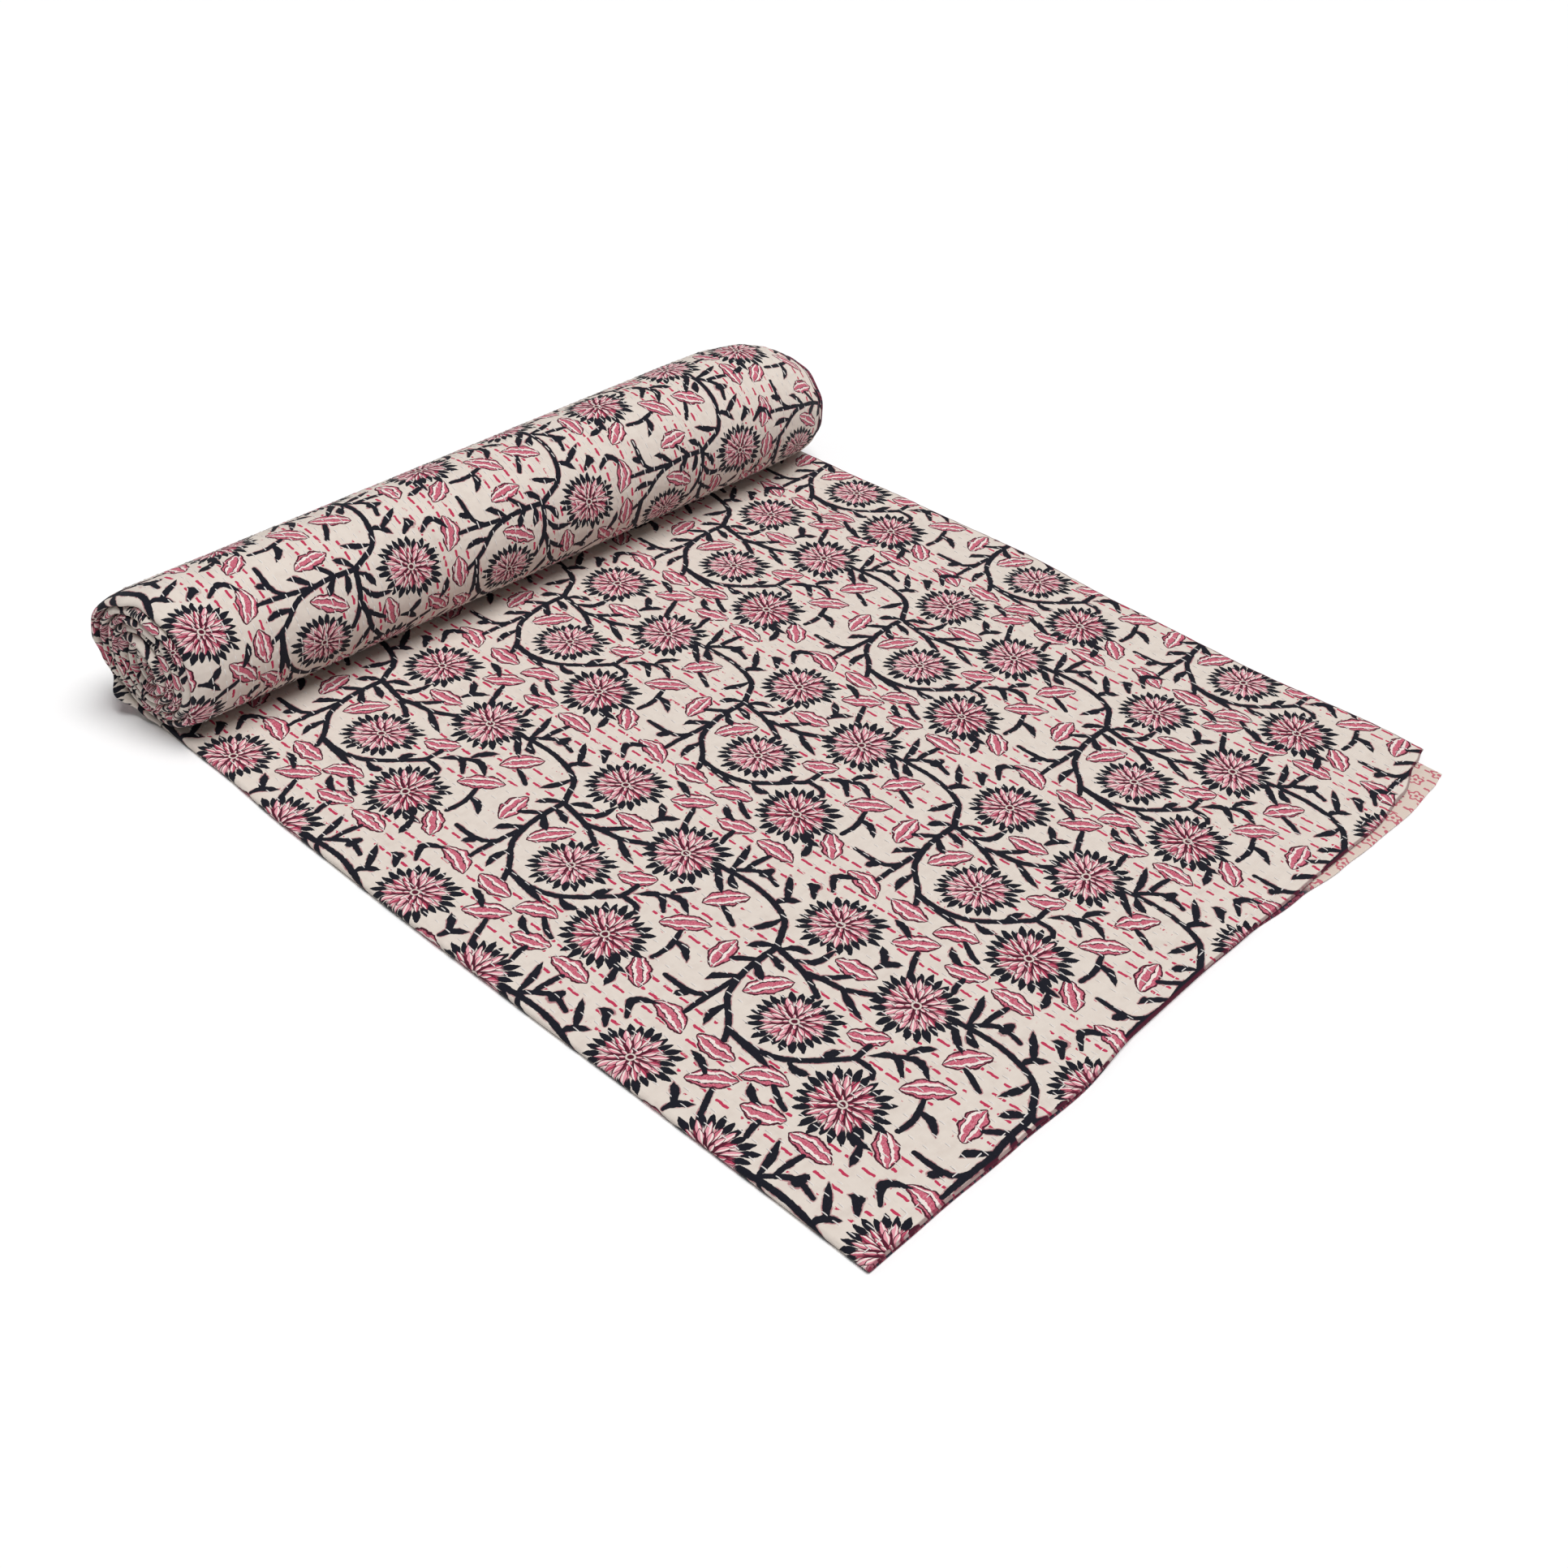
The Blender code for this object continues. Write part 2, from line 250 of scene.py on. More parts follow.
@dataclass(frozen=True)
class QuiltForm:
    """The quilt's folded and rolled form, worked out from a few sizes in the quilt's own axes.

    X runs from the line under the roll's middle to the free hem, Y from the fold to the open
    edges, and Z up. `placed` moves points into the part's frame.

    Args:
        width: from the fold to the open edges.
        flat_run: from the line under the roll to the hem.
        leaf: one leaf's thickness.
        leaf_gap: the air between the two leaves.
        radius_fold: the roll's radius at its folded end.
        radius_open: its radius at its open end.
        axis_skew: how far its middle drifts towards the hem across the width.
        first_turn: how much the outer turn winds in.
        next_turns: how much each turn after it winds in.
        end_blend: the stretch over which the folded end takes its uneven reach.
        pleats: the pleats round the open end.
        pleat_depth: how deep they are.
        pleat_run: how far into the roll they go.
        nip_deg: the turn at which the roll's front meets the loose end.
        core_radius: the radius at which the winding stops.
        hem_reach: how far past the flat run the hem's furthest point lies.
        open_reach: how far from the fold the open edges' furthest point lies.
    """

    width: float = 0.762
    flat_run: float = 0.765
    leaf: float = 0.0023
    leaf_gap: float = 0.0012
    radius_fold: float = 0.0648
    radius_open: float = 0.0722
    axis_skew: float = 0.0074
    first_turn: float = 0.0065
    next_turns: float = 0.0080
    end_blend: float = 0.080
    pleats: int = 9
    pleat_depth: float = 0.0011
    pleat_run: float = 0.10
    nip_deg: float = 350.0
    core_radius: float = 0.005
    hem_reach: float = 0.020
    open_reach: float = 0.766

    @property
    def stack(self) -> float:
        """Both leaves' height where they lie on each other."""
        return 2.0 * self.leaf + self.leaf_gap

    def placed(self, points: Array) -> Array:
        """Moves points from the quilt's axes to the part's frame.

        Args:
            points: the points, in any shape by 3.

        Returns:
            The moved points.
        """
        _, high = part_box(SOLID)
        shift = (high.x - self.flat_run - self.hem_reach, high.y - self.open_reach, 0.0)
        return np.asarray(points) + np.array(shift)

    def full_radius(self, across: Array) -> Array:
        """The roll's outer radius at its lowest line."""
        share = across / self.width
        return self.radius_fold + (self.radius_open - self.radius_fold) * share

    def wound_in(self, turn_deg: Array) -> Array:
        """How far the winding has come in from the roll's outer radius at this turn."""
        first = self.first_turn * np.minimum(turn_deg, 360.0) / 360.0
        return first + self.next_turns * np.maximum(turn_deg - 360.0, 0.0) / 360.0

    def last_turn_deg(self, across: float) -> float:
        """The turn at which the winding reaches the core."""
        left = float(self.full_radius(np.array(across))) - self.core_radius - self.first_turn
        return 360.0 + 360.0 * left / self.next_turns

    def roll_points(self, turn_deg: Array, across: Array, depth: Array) -> Array:
        """Points on the roll's winding.

        Args:
            turn_deg: the angle round the roll from its lowest line, over the back, in degrees.
            across: from the folded end (0) to the open end (the width).
            depth: how far below the turn's outer face the point lies.

        Returns:
            The points in the quilt's own axes, in the arrays' common shape and 3.
        """
        turn_deg, across, depth = np.broadcast_arrays(turn_deg, across, depth)
        turn = np.radians(turn_deg)
        full = self.full_radius(across)
        from_open = self.width - across
        nose_stop = OPEN_EDGES.eased("outer", np.minimum(turn_deg, 330.0))
        nose = OPEN_NOSE.straight("share", np.maximum(from_open, nose_stop))
        lifted = np.sqrt(np.abs(np.sin(turn / 2.0)))
        pleat_share = np.clip(1.0 - from_open / self.pleat_run, 0.0, 1.0)
        pleat = self.pleat_depth * pleat_share * np.sin(self.pleats * turn) * lifted
        radius = full - self.wound_in(turn_deg) - depth + pleat
        radius = radius * (1.0 - (1.0 - FOLD_DRAW.straight("share", across)) * lifted)
        radius = np.maximum(radius, self.core_radius * 0.5)
        x = self.axis_skew * across / self.width - nose * radius * np.sin(turn)
        z = nose * (full - radius * np.cos(turn))
        blend = np.clip(1.0 - across / self.end_blend, 0.0, 1.0) ** 2
        y = across - blend * FOLD_REACH.eased("reach", turn_deg)
        return np.stack([x, y, np.maximum(z, 0.0)], axis=-1)

    def top_height(self, x: Array, y: Array) -> Array:
        """The height of the upper leaf's printed face, before its quilting.

        Args:
            x: the places along the quilt.
            y: the places across it, in the same shape.

        Returns:
            The heights, in that shape.
        """
        height = np.full(np.shape(x), self.stack)
        for along, across, rise, spread in RISES:
            apart = ((x - along) ** 2 + (y - across) ** 2) / spread**2
            height = height + rise * np.exp(-apart)
        return height

    def arc_up_cm(self, turn_deg: Array, across: Array) -> Array:
        """The cloth's length from the nip round to this turn, in centimetres."""
        radius = self.full_radius(across) - self.wound_in(turn_deg) * 0.5
        return np.radians(self.nip_deg - turn_deg) * radius / CM


FORM = QuiltForm()


# ------------------------------------------------------------------ the block print's chart


class StrokeKind(Enum):
    """How a brushed stroke of the vine swells and tapers."""

    VINE = "vine"
    STEM = "stem"
    LEAFLET = "leaflet"


STROKE_WIDTHS = {
    StrokeKind.VINE: Rows(("share", "width_cm"), ((0.0, 0.56), (0.5, 0.51), (1.0, 0.48))),
    StrokeKind.STEM: Rows(("share", "width_cm"), ((0.0, 0.42), (0.6, 0.52), (1.0, 0.40))),
    StrokeKind.LEAFLET: Rows(
        ("share", "width_cm"),
        ((0.0, 0.32), (0.4, 0.66), (0.75, 0.54), (1.0, 0.03)),
    ),
}

# One repeat of the print, in centimetres: along from the free hem, across from the fold.
REPEAT_CM = 23.0
FLOWER_RADIUS_CM = 3.3
LEAF_HALF_WIDTH_CM = 0.92

FLOWERS = (
    # along, across, tone, reach along the chart's diagonal as a share of its radius
    (10.0, 8.8, 0.50, 1.00),
    (17.4, 12.2, 0.80, 0.84),
    (12.4, 19.6, 0.75, 1.00),
    (21.7, 22.1, 0.65, 0.89),
)

LEAVES = (
    # along, across, length, angle in degrees, bend
    (5.5, 7.9, 3.4, 45.0, 0.10),
    (15.3, 6.9, 3.6, -30.0, 0.55),
    (19.5, 6.4, 3.6, 0.0, -0.15),
    (23.8, 6.4, 3.8, 15.0, 0.50),
    (21.1, 13.5, 4.0, -60.0, 0.20),
    (25.7, 13.6, 3.6, 80.0, -0.20),
    (6.8, 13.9, 4.0, -40.0, 0.15),
    (12.8, 14.8, 3.2, -35.0, -0.25),
    (6.6, 18.0, 3.8, -55.0, 0.20),
    (17.8, 19.3, 3.6, -10.0, -0.10),
    (7.8, 24.9, 3.8, 0.0, 0.20),
    (12.0, 24.8, 3.4, -20.0, -0.15),
    (16.5, 24.6, 3.8, -40.0, 0.10),
)

# The points that each stroke passes through.
STROKES = {
    StrokeKind.VINE: (
        ((23.35, 16.9), (24.0, 18.0), (24.8, 19.3), (26.2, 20.1), (28.5, 20.6), (30.8, 20.6),
         (32.3, 20.4)),
        ((23.35, 16.9), (23.4, 15.0), (23.3, 13.5), (23.1, 12.5), (22.6, 11.0), (21.9, 10.1),
         (21.0, 9.3), (20.2, 8.4), (19.6, 7.4)),
        ((20.1, 8.35), (18.5, 8.2), (17.0, 8.4), (15.7, 8.9), (14.8, 9.6), (13.8, 10.6),
         (12.8, 11.8), (12.2, 12.6), (12.2, 14.2)),
        ((23.3, 16.9), (21.5, 16.6), (20.2, 16.3), (19.0, 15.8), (17.9, 15.2)),
        ((20.0, 16.4), (18.7, 16.8), (17.4, 17.0), (16.5, 17.4), (15.2, 18.2), (14.3, 18.5)),
    ),
    StrokeKind.STEM: (
        ((12.2, 12.6), (10.7, 12.6), (10.1, 12.0)),
        ((23.2, 12.8), (23.3, 10.5), (23.4, 9.0), (23.4, 7.4)),
        ((23.4, 10.1), (24.0, 9.3), (25.2, 9.0), (27.0, 9.0)),
        ((23.4, 15.0), (24.1, 14.4), (24.9, 13.7)),
        ((18.9, 17.0), (18.3, 17.6), (17.5, 18.6)),
        ((8.6, 20.7), (7.5, 21.8), (6.5, 22.3), (5.0, 21.9)),
        ((7.9, 21.6), (7.9, 22.6), (7.7, 24.0)),
        ((11.4, 22.6), (11.6, 23.2), (11.7, 24.1)),
        ((14.6, 21.4), (15.2, 22.6), (15.8, 23.9)),
        ((5.9, 9.6), (5.8, 11.2), (6.4, 13.0)),
        ((12.4, 5.7), (13.2, 6.0), (14.3, 6.7)),
        ((4.3, 16.3), (5.2, 16.8), (6.1, 17.2)),
    ),
    StrokeKind.LEAFLET: (
        ((24.7, 9.0), (24.9, 8.6), (25.2, 8.0)),
        ((17.2, 17.0), (15.6, 16.2), (14.2, 15.7)),
        ((19.9, 8.2), (17.9, 8.05), (15.5, 7.7)),
        ((15.0, 9.0), (14.2, 8.8), (13.3, 9.2)),
        ((13.7, 10.9), (13.6, 11.6), (13.2, 12.6)),
        ((21.9, 9.9), (22.0, 8.5), (21.6, 7.4)),
        ((23.4, 12.6), (24.5, 11.4), (24.7, 10.7)),
        ((23.2, 14.7), (22.6, 14.1), (21.7, 13.6)),
        ((23.2, 15.9), (22.4, 15.8), (21.3, 15.3)),
        ((23.7, 16.8), (24.4, 16.3), (25.0, 15.4)),
        ((21.4, 16.9), (20.3, 17.8), (20.1, 19.8)),
        ((22.9, 17.1), (22.3, 17.8), (21.1, 18.2)),
        ((25.2, 19.2), (25.4, 18.3), (26.1, 16.8)),
        ((26.7, 20.2), (26.5, 21.1), (25.4, 21.9)),
        ((26.3, 21.2), (27.1, 22.3), (28.1, 23.6)),
        ((8.2, 20.3), (7.6, 19.7), (6.7, 19.4)),
        ((9.6, 20.3), (8.4, 19.1), (7.2, 18.2)),
        ((6.9, 22.1), (6.5, 22.6), (6.4, 23.2)),
        ((8.7, 20.9), (9.0, 22.3), (9.7, 24.0)),
        ((16.9, 20.4), (16.6, 21.3), (15.6, 22.2)),
        ((16.7, 21.1), (17.3, 21.9), (18.1, 22.6)),
        ((12.7, 25.2), (13.5, 25.4), (14.4, 26.2)),
        ((17.2, 24.7), (18.2, 25.3), (19.3, 25.5)),
        ((25.1, 22.9), (26.0, 23.8), (26.6, 23.7)),
        ((24.6, 24.5), (25.5, 25.7), (25.2, 26.4), (23.9, 27.1)),
        ((6.1, 12.0), (4.9, 11.9), (3.8, 11.0)),
        ((8.8, 13.6), (10.3, 14.7), (11.7, 13.4)),
        ((10.2, 14.9), (8.8, 15.5), (7.2, 14.6)),
        ((9.8, 15.5), (9.6, 16.3), (8.7, 17.4)),
        ((8.6, 7.8), (7.4, 7.1), (6.0, 7.1)),
        ((6.9, 7.0), (6.5, 6.2), (6.2, 5.1)),
    ),
}  # fmt: skip

# The rows of block prints across the cloth, each a little out of step with the last.
PRINT_ROWS = (
    # across_cm, shift_cm
    (-101.8, 0.5),
    (-81.5, -0.8),
    (-61.2, 0.9),
    (-40.8, -0.4),
    (-20.4, 1.2),
    (0.0, 0.0),
    (20.6, -0.3),
    (41.0, -1.1),
    (60.8, 0.3),
    (81.2, -0.6),
)

SEGMENT_CM = 0.6  # the longest straight piece of a stroke
STROKES_KEPT = 5  # how many of the nearest pieces a face's material is told of
FAR = 9.0  # stands for a motif that isn't near
TILE_CM = 3.0  # faces are looked up in tiles of this size
STROKE_REACH_CM = 1.2
LEAF_REACH_CM = 3.0
FLOWER_REACH_CM = FLOWER_RADIUS_CM + 1.0
MARGIN_CM = 5.0  # how far past a piece of cloth its motifs may lie
REPEAT_SPAN_CM = (34.0, 30.0)  # how far a repeat's motifs reach from its own corner


def smooth_path(points: Array, step: float) -> Array:
    """A rounded path through these points, cut into about equal steps.

    Args:
        points: the points that it passes through, in order.
        step: the longest step.

    Returns:
        The path's points, ends included.
    """
    padded = np.vstack([2.0 * points[0] - points[1], points, 2.0 * points[-1] - points[-2]])
    share = np.linspace(0.0, 1.0, 9)[:-1, None]
    path = []
    for before, first, last, after in zip(padded[:-3], padded[1:-2], padded[2:-1], padded[3:]):
        slope = (last - before) * share
        curve = (2.0 * before - 5.0 * first + 4.0 * last - after) * share**2
        twist = (3.0 * first - before - 3.0 * last + after) * share**3
        path.append(0.5 * (2.0 * first + slope + curve + twist))
    path = np.vstack([*path, points[-1:]])
    run = np.concatenate([[0.0], np.cumsum(np.linalg.norm(np.diff(path, axis=0), axis=1))])
    places = np.linspace(0.0, run[-1], max(2, math.ceil(run[-1] / step) + 1))
    return np.stack([np.interp(places, run, path[:, axis]) for axis in (0, 1)], axis=-1)


@dataclass(frozen=True)
class Segments:
    """The vine's strokes, cut into short straight segments that widen or taper evenly.

    Args:
        middle: each segment's middle, in centimetres on the chart.
        along: its direction, of length 1.
        half_width: half its width at its middle.
        widening: how fast the half width grows along it.
    """

    middle: Array
    along: Array
    half_width: Array
    widening: Array

    @staticmethod
    def charted() -> Array:
        """Cuts up one repeat's strokes.

        Returns:
            A row for each segment: its place, its direction, its half width and its widening.
        """
        parts = []
        charted = [(kind, points) for kind, strokes in STROKES.items() for points in strokes]
        for kind, points in charted:
            path = smooth_path(np.array(points), SEGMENT_CM)
            share = np.linspace(0.0, 1.0, len(path))
            half = STROKE_WIDTHS[kind].straight("width_cm", share) / 2.0
            gap = np.diff(path, axis=0)
            length = np.linalg.norm(gap, axis=1)[:, None]
            widening = np.diff(half)[:, None] / length
            middle = (path[1:] + path[:-1]) / 2.0
            mid_half = ((half[1:] + half[:-1]) / 2.0)[:, None]
            parts.append(np.hstack([middle, gap / length, mid_half, widening]))
        return np.vstack(parts)

    def measured(self, points: Array, which: Array) -> tuple[Array, Array, Array]:
        """Measures points against segments.

        Args:
            points: the points, in some shape by 2.
            which: the segments' numbers, in a shape that goes with the points'.

        Returns:
            Each point's place along its segment and across it, and the half width there.
        """
        apart, along = points - self.middle[which], self.along[which]
        run = (apart * along).sum(axis=-1)
        side = apart[..., 1] * along[..., 0] - apart[..., 0] * along[..., 1]
        return run, side, self.half_width[which] + self.widening[which] * run


@dataclass
class Tile:
    """A few faces that lie close together, so that their nearest motifs are looked up at once.

    Args:
        corners: their corners on the chart, faces by 4 by 2.
        centres: their middles, faces by 2.
    """

    corners: Array
    centres: Array

    def near(self, places: Array, reach: float) -> Array:
        """The numbers of the places within this reach of the tile."""
        low, high = self.centres.min(axis=0) - reach, self.centres.max(axis=0) + reach
        return np.flatnonzero(np.all((places > low) & (places < high), axis=1))


class BlockPrint:
    """The whole print: the repeat's motifs, laid out over a stretch of the cloth's chart."""

    def __init__(self, low: Array, high: Array) -> None:
        """Lays the motifs out.

        Args:
            low: the stretch's lowest along and across, in centimetres.
            high: its highest.
        """
        first = math.floor((low[0] - REPEAT_SPAN_CM[0] - MARGIN_CM) / REPEAT_CM)
        last = math.ceil((high[0] + MARGIN_CM) / REPEAT_CM)
        offsets = []
        for across, shift in PRINT_ROWS:
            if low[1] - REPEAT_SPAN_CM[1] < across < high[1] + MARGIN_CM:
                offsets += [(REPEAT_CM * k + shift, across) for k in range(first, last + 1)]
        self.offsets = np.array(offsets)
        self.low, self.high = np.array(low) - MARGIN_CM, np.array(high) + MARGIN_CM
        middle, facts = self._repeated(Segments.charted())
        self.segments = Segments(middle, facts[:, :2], facts[:, 2], facts[:, 3])
        self.flowers, self.flower_facts = self._repeated(np.array(FLOWERS))
        leaves = np.column_stack([LEAVES, np.arange(len(LEAVES))])
        self.leaves, self.leaf_facts = self._repeated(leaves)

    def _repeated(self, table: Array) -> tuple[Array, Array]:
        """Lays one repeat's motifs out over all the repeats.

        Args:
            table: a row for each motif, its place in the repeat and then its facts.

        Returns:
            The places and the facts of the motifs that meet the stretch.
        """
        places = (table[None, :, :2] + self.offsets[:, None, :]).reshape(-1, 2)
        inside = np.all((places > self.low) & (places < self.high), axis=1)
        return places[inside], np.tile(table[:, 2:], (len(self.offsets), 1))[inside]

    def frames(self, corners: Array) -> dict[str, Array]:
        """What each face's material needs of the motifs nearest to it.

        Args:
            corners: the faces' corners on the chart, faces by 4 by 2.

        Returns:
            Named vectors for each corner, faces by 4 by 3.
        """
        names = ("bloom", "leaf", *(f"vine_{kept}" for kept in range(STROKES_KEPT)))
        out = {name: np.full((len(corners), 4, 3), FAR) for name in names}
        centres = corners.mean(axis=1)
        tile = np.floor(centres / TILE_CM).astype(int)
        keys, which = np.unique(tile, axis=0, return_inverse=True)
        which = which.ravel()
        order = np.argsort(which, kind="stable")
        starts = np.searchsorted(which[order], np.arange(len(keys) + 1))
        for number in range(len(keys)):
            faces = order[starts[number] : starts[number + 1]]
            tile = Tile(corners[faces], centres[faces])
            for motifs in (self._strokes, self._flowers, self._leaves):
                for name, vectors in motifs(tile).items():
                    out[name][faces] = vectors
        return out

    def _strokes(self, tile: Tile) -> dict[str, Array]:
        """Reads the nearest segments' own frames.

        Args:
            tile: the faces.

        Returns:
            For each segment kept, every corner's place along it and across it, and the half
            width there, in centimetres. Nothing where no stroke is near.
        """
        near = tile.near(self.segments.middle, STROKE_REACH_CM)
        if not len(near):
            return {}
        run, side, wide = self.segments.measured(tile.centres[:, None, :], near)
        past = np.maximum(np.abs(run) - SEGMENT_CM / 2.0, 0.0)
        nearest = near[np.argsort(np.hypot(past, side) - wide, axis=1)[:, :STROKES_KEPT]]
        return {
            f"vine_{kept}": np.stack(self.segments.measured(tile.corners, own[:, None]), axis=-1)
            for kept, own in enumerate(nearest.T)
        }

    def _flowers(self, tile: Tile) -> dict[str, Array]:
        """Reads the nearest flower's own frame.

        Args:
            tile: the faces.

        Returns:
            Every corner's place from the flower's middle, in its radii, and the flower's tone.
            Nothing where no flower is near.
        """
        near = tile.near(self.flowers, FLOWER_REACH_CM)
        if not len(near):
            return {}
        apart = np.linalg.norm(tile.centres[:, None, :] - self.flowers[near], axis=2)
        chosen = near[np.argmin(apart, axis=1)]
        local = (tile.corners - self.flowers[chosen][:, None, :]) / FLOWER_RADIUS_CM
        tone, bias = self.flower_facts[chosen, 0:1, None], self.flower_facts[chosen, 1:2, None]
        local = local + local.mean(axis=2, keepdims=True) * (1.0 / bias - 1.0)
        tone = np.broadcast_to(tone, (*local.shape[:2], 1))
        return {"bloom": np.concatenate([local, tone], axis=2)}

    def _leaves(self, tile: Tile) -> dict[str, Array]:
        """Reads the nearest leaf's own frame.

        Args:
            tile: the faces.

        Returns:
            Every corner's place along and across the leaf, in its half lengths and half widths,
            and the leaf's number. Nothing where no leaf is near.
        """
        near = tile.near(self.leaves, LEAF_REACH_CM)
        if not len(near):
            return {}
        run, side = self._on_leaves(tile.centres[:, None, :], near)
        own = near[np.argmin(run**2 + side**2, axis=1)]
        run, side = self._on_leaves(tile.corners, own[:, None])
        seed = np.broadcast_to(self.leaf_facts[own, 3:], run.shape)
        return {"leaf": np.stack([run, side, seed], axis=-1)}

    def _on_leaves(self, points: Array, which: Array) -> tuple[Array, Array]:
        """Measures points against leaves.

        Args:
            points: the points, in some shape by 2.
            which: the leaves' numbers, in a shape that goes with the points'.

        Returns:
            Each point's place along its leaf, in half lengths, and across its bent middle line,
            in half widths.
        """
        apart = points - self.leaves[which]
        length, angle, bend, _ = np.moveaxis(self.leaf_facts[which], -1, 0)
        cosine, sine = np.cos(np.radians(angle)), np.sin(np.radians(angle))
        run = (apart[..., 0] * cosine + apart[..., 1] * sine) * 2.0 / length
        side = apart[..., 1] * cosine - apart[..., 0] * sine
        return run, side / LEAF_HALF_WIDTH_CM + bend * (run**2 - 0.35)


# ------------------------------------------------------------------ cloth meshes


def in_scene(name: str, data: bpy.types.ID) -> bpy.types.Object:
    """Makes an object and links it to the scene.

    Args:
        name: its name.
        data: its mesh, lamp or camera.

    Returns:
        The object.
    """
    made = bpy.data.objects.new(name, data)
    bpy.context.scene.collection.objects.link(made)
    return made


def carry(mesh: bpy.types.Mesh, name: str, domain: str, vectors: Array) -> None:
    """Writes vectors onto a mesh as an attribute."""
    layer = mesh.attributes.new(name, "FLOAT_VECTOR", domain)
    layer.data.foreach_set("vector", vectors.astype(np.float32).ravel())


class ClothMesh:
    """Gathers a cloth piece's points and faces, and makes it a Blender object."""

    def __init__(self, name: str) -> None:
        """Starts an empty piece.

        Args:
            name: the object's name.
        """
        self.name = name
        self.points: list[Array] = []
        self.charts: list[Array] = []
        self.quads: list[Array] = []
        self.quad_looks: list[Array] = []
        self.cells: list[list[int]] = []
        self.count = 0

    def add(self, points: Array, chart: Array) -> Array:
        """Adds points in the quilt's own axes.

        Args:
            points: the points, in any shape by 3.
            chart: in the same shape by 3, in centimetres, where each lies on the print's chart
                and how far it is from the cloth's nearest cut edge.

        Returns:
            The points' numbers, in that shape.
        """
        shape = points.shape[:-1]
        number = np.arange(self.count, self.count + int(np.prod(shape))).reshape(shape)
        self.points.append(points.reshape(-1, 3))
        self.charts.append(chart.reshape(-1, 3))
        self.count += number.size
        return number

    def skin(self, grid: Array, look: int = 0, flip: bool = False) -> None:
        """Covers a grid of points with faces.

        Args:
            grid: the points' numbers, rows by columns.
            look: which of the piece's materials they wear.
            flip: turns the faces over.
        """
        quads = np.stack([grid[:-1, :-1], grid[1:, :-1], grid[1:, 1:], grid[:-1, 1:]], axis=-1)
        quads = quads.reshape(-1, 4)
        self.quads.append(quads[:, ::-1] if flip else quads)
        self.quad_looks.append(np.full(len(quads), look))

    def cell(self, corners: list[int]) -> None:
        """Adds one many-sided face of the cloth's reverse."""
        self.cells.append(corners)

    def built(self, looks: tuple[bpy.types.Material, ...], printed: BlockPrint) -> bpy.types.Object:
        """Makes the object, with the print's frames on its faces' corners.

        Args:
            looks: the piece's materials: the printed face's, then the reverse's.
            printed: the print that its quads carry.

        Returns:
            The new object.
        """
        points, chart = FORM.placed(np.vstack(self.points)), np.vstack(self.charts)
        quads, quad_looks = np.vstack(self.quads), np.concatenate(self.quad_looks)
        sizes = np.concatenate([np.full(len(quads), 4), [len(cell) for cell in self.cells]])
        corners = np.concatenate([quads.ravel(), *[np.array(cell) for cell in self.cells]])
        mesh = bpy.data.meshes.new(self.name)
        mesh.vertices.add(len(points))
        mesh.vertices.foreach_set("co", points.astype(np.float32).ravel())
        mesh.loops.add(len(corners))
        mesh.loops.foreach_set("vertex_index", corners.astype(np.int32))
        mesh.polygons.add(len(sizes))
        starts = np.concatenate([[0], np.cumsum(sizes)[:-1]])
        mesh.polygons.foreach_set("loop_start", starts.astype(np.int32))
        looks_worn = np.concatenate([quad_looks, np.ones(len(self.cells))]).astype(np.int32)
        mesh.polygons.foreach_set("material_index", looks_worn)
        mesh.polygons.foreach_set("use_smooth", np.ones(len(sizes), dtype=bool))
        mesh.update(calc_edges=True)
        frames = printed.frames(chart[quads][..., :2])
        frames["chart"] = chart[corners]
        for name, values in frames.items():
            full = np.full((len(corners), 3), FAR)
            full[: values.size // 3] = values.reshape(-1, 3)
            carry(mesh, name, "CORNER", full)
        for look in looks:
            mesh.materials.append(look)
        mesh.validate()
        LOG.info("%s: %d faces", self.name, len(sizes))
        return in_scene(self.name, mesh)


def unit(vectors: Array) -> Array:
    """These vectors at length 1."""
    return vectors / np.maximum(np.linalg.norm(vectors, axis=-1, keepdims=True), 1e-12)


def surface_normals(points: Array) -> Array:
    """The unit normals of a grid of points, rows crossed with columns."""
    return unit(np.cross(np.gradient(points, axis=0), np.gradient(points, axis=1)))


class Side(Enum):
    """The four sides of a grid of points, in the order that its rim runs."""

    FIRST_COLUMN = 0
    LAST_ROW = 1
    LAST_COLUMN = 2
    FIRST_ROW = 3


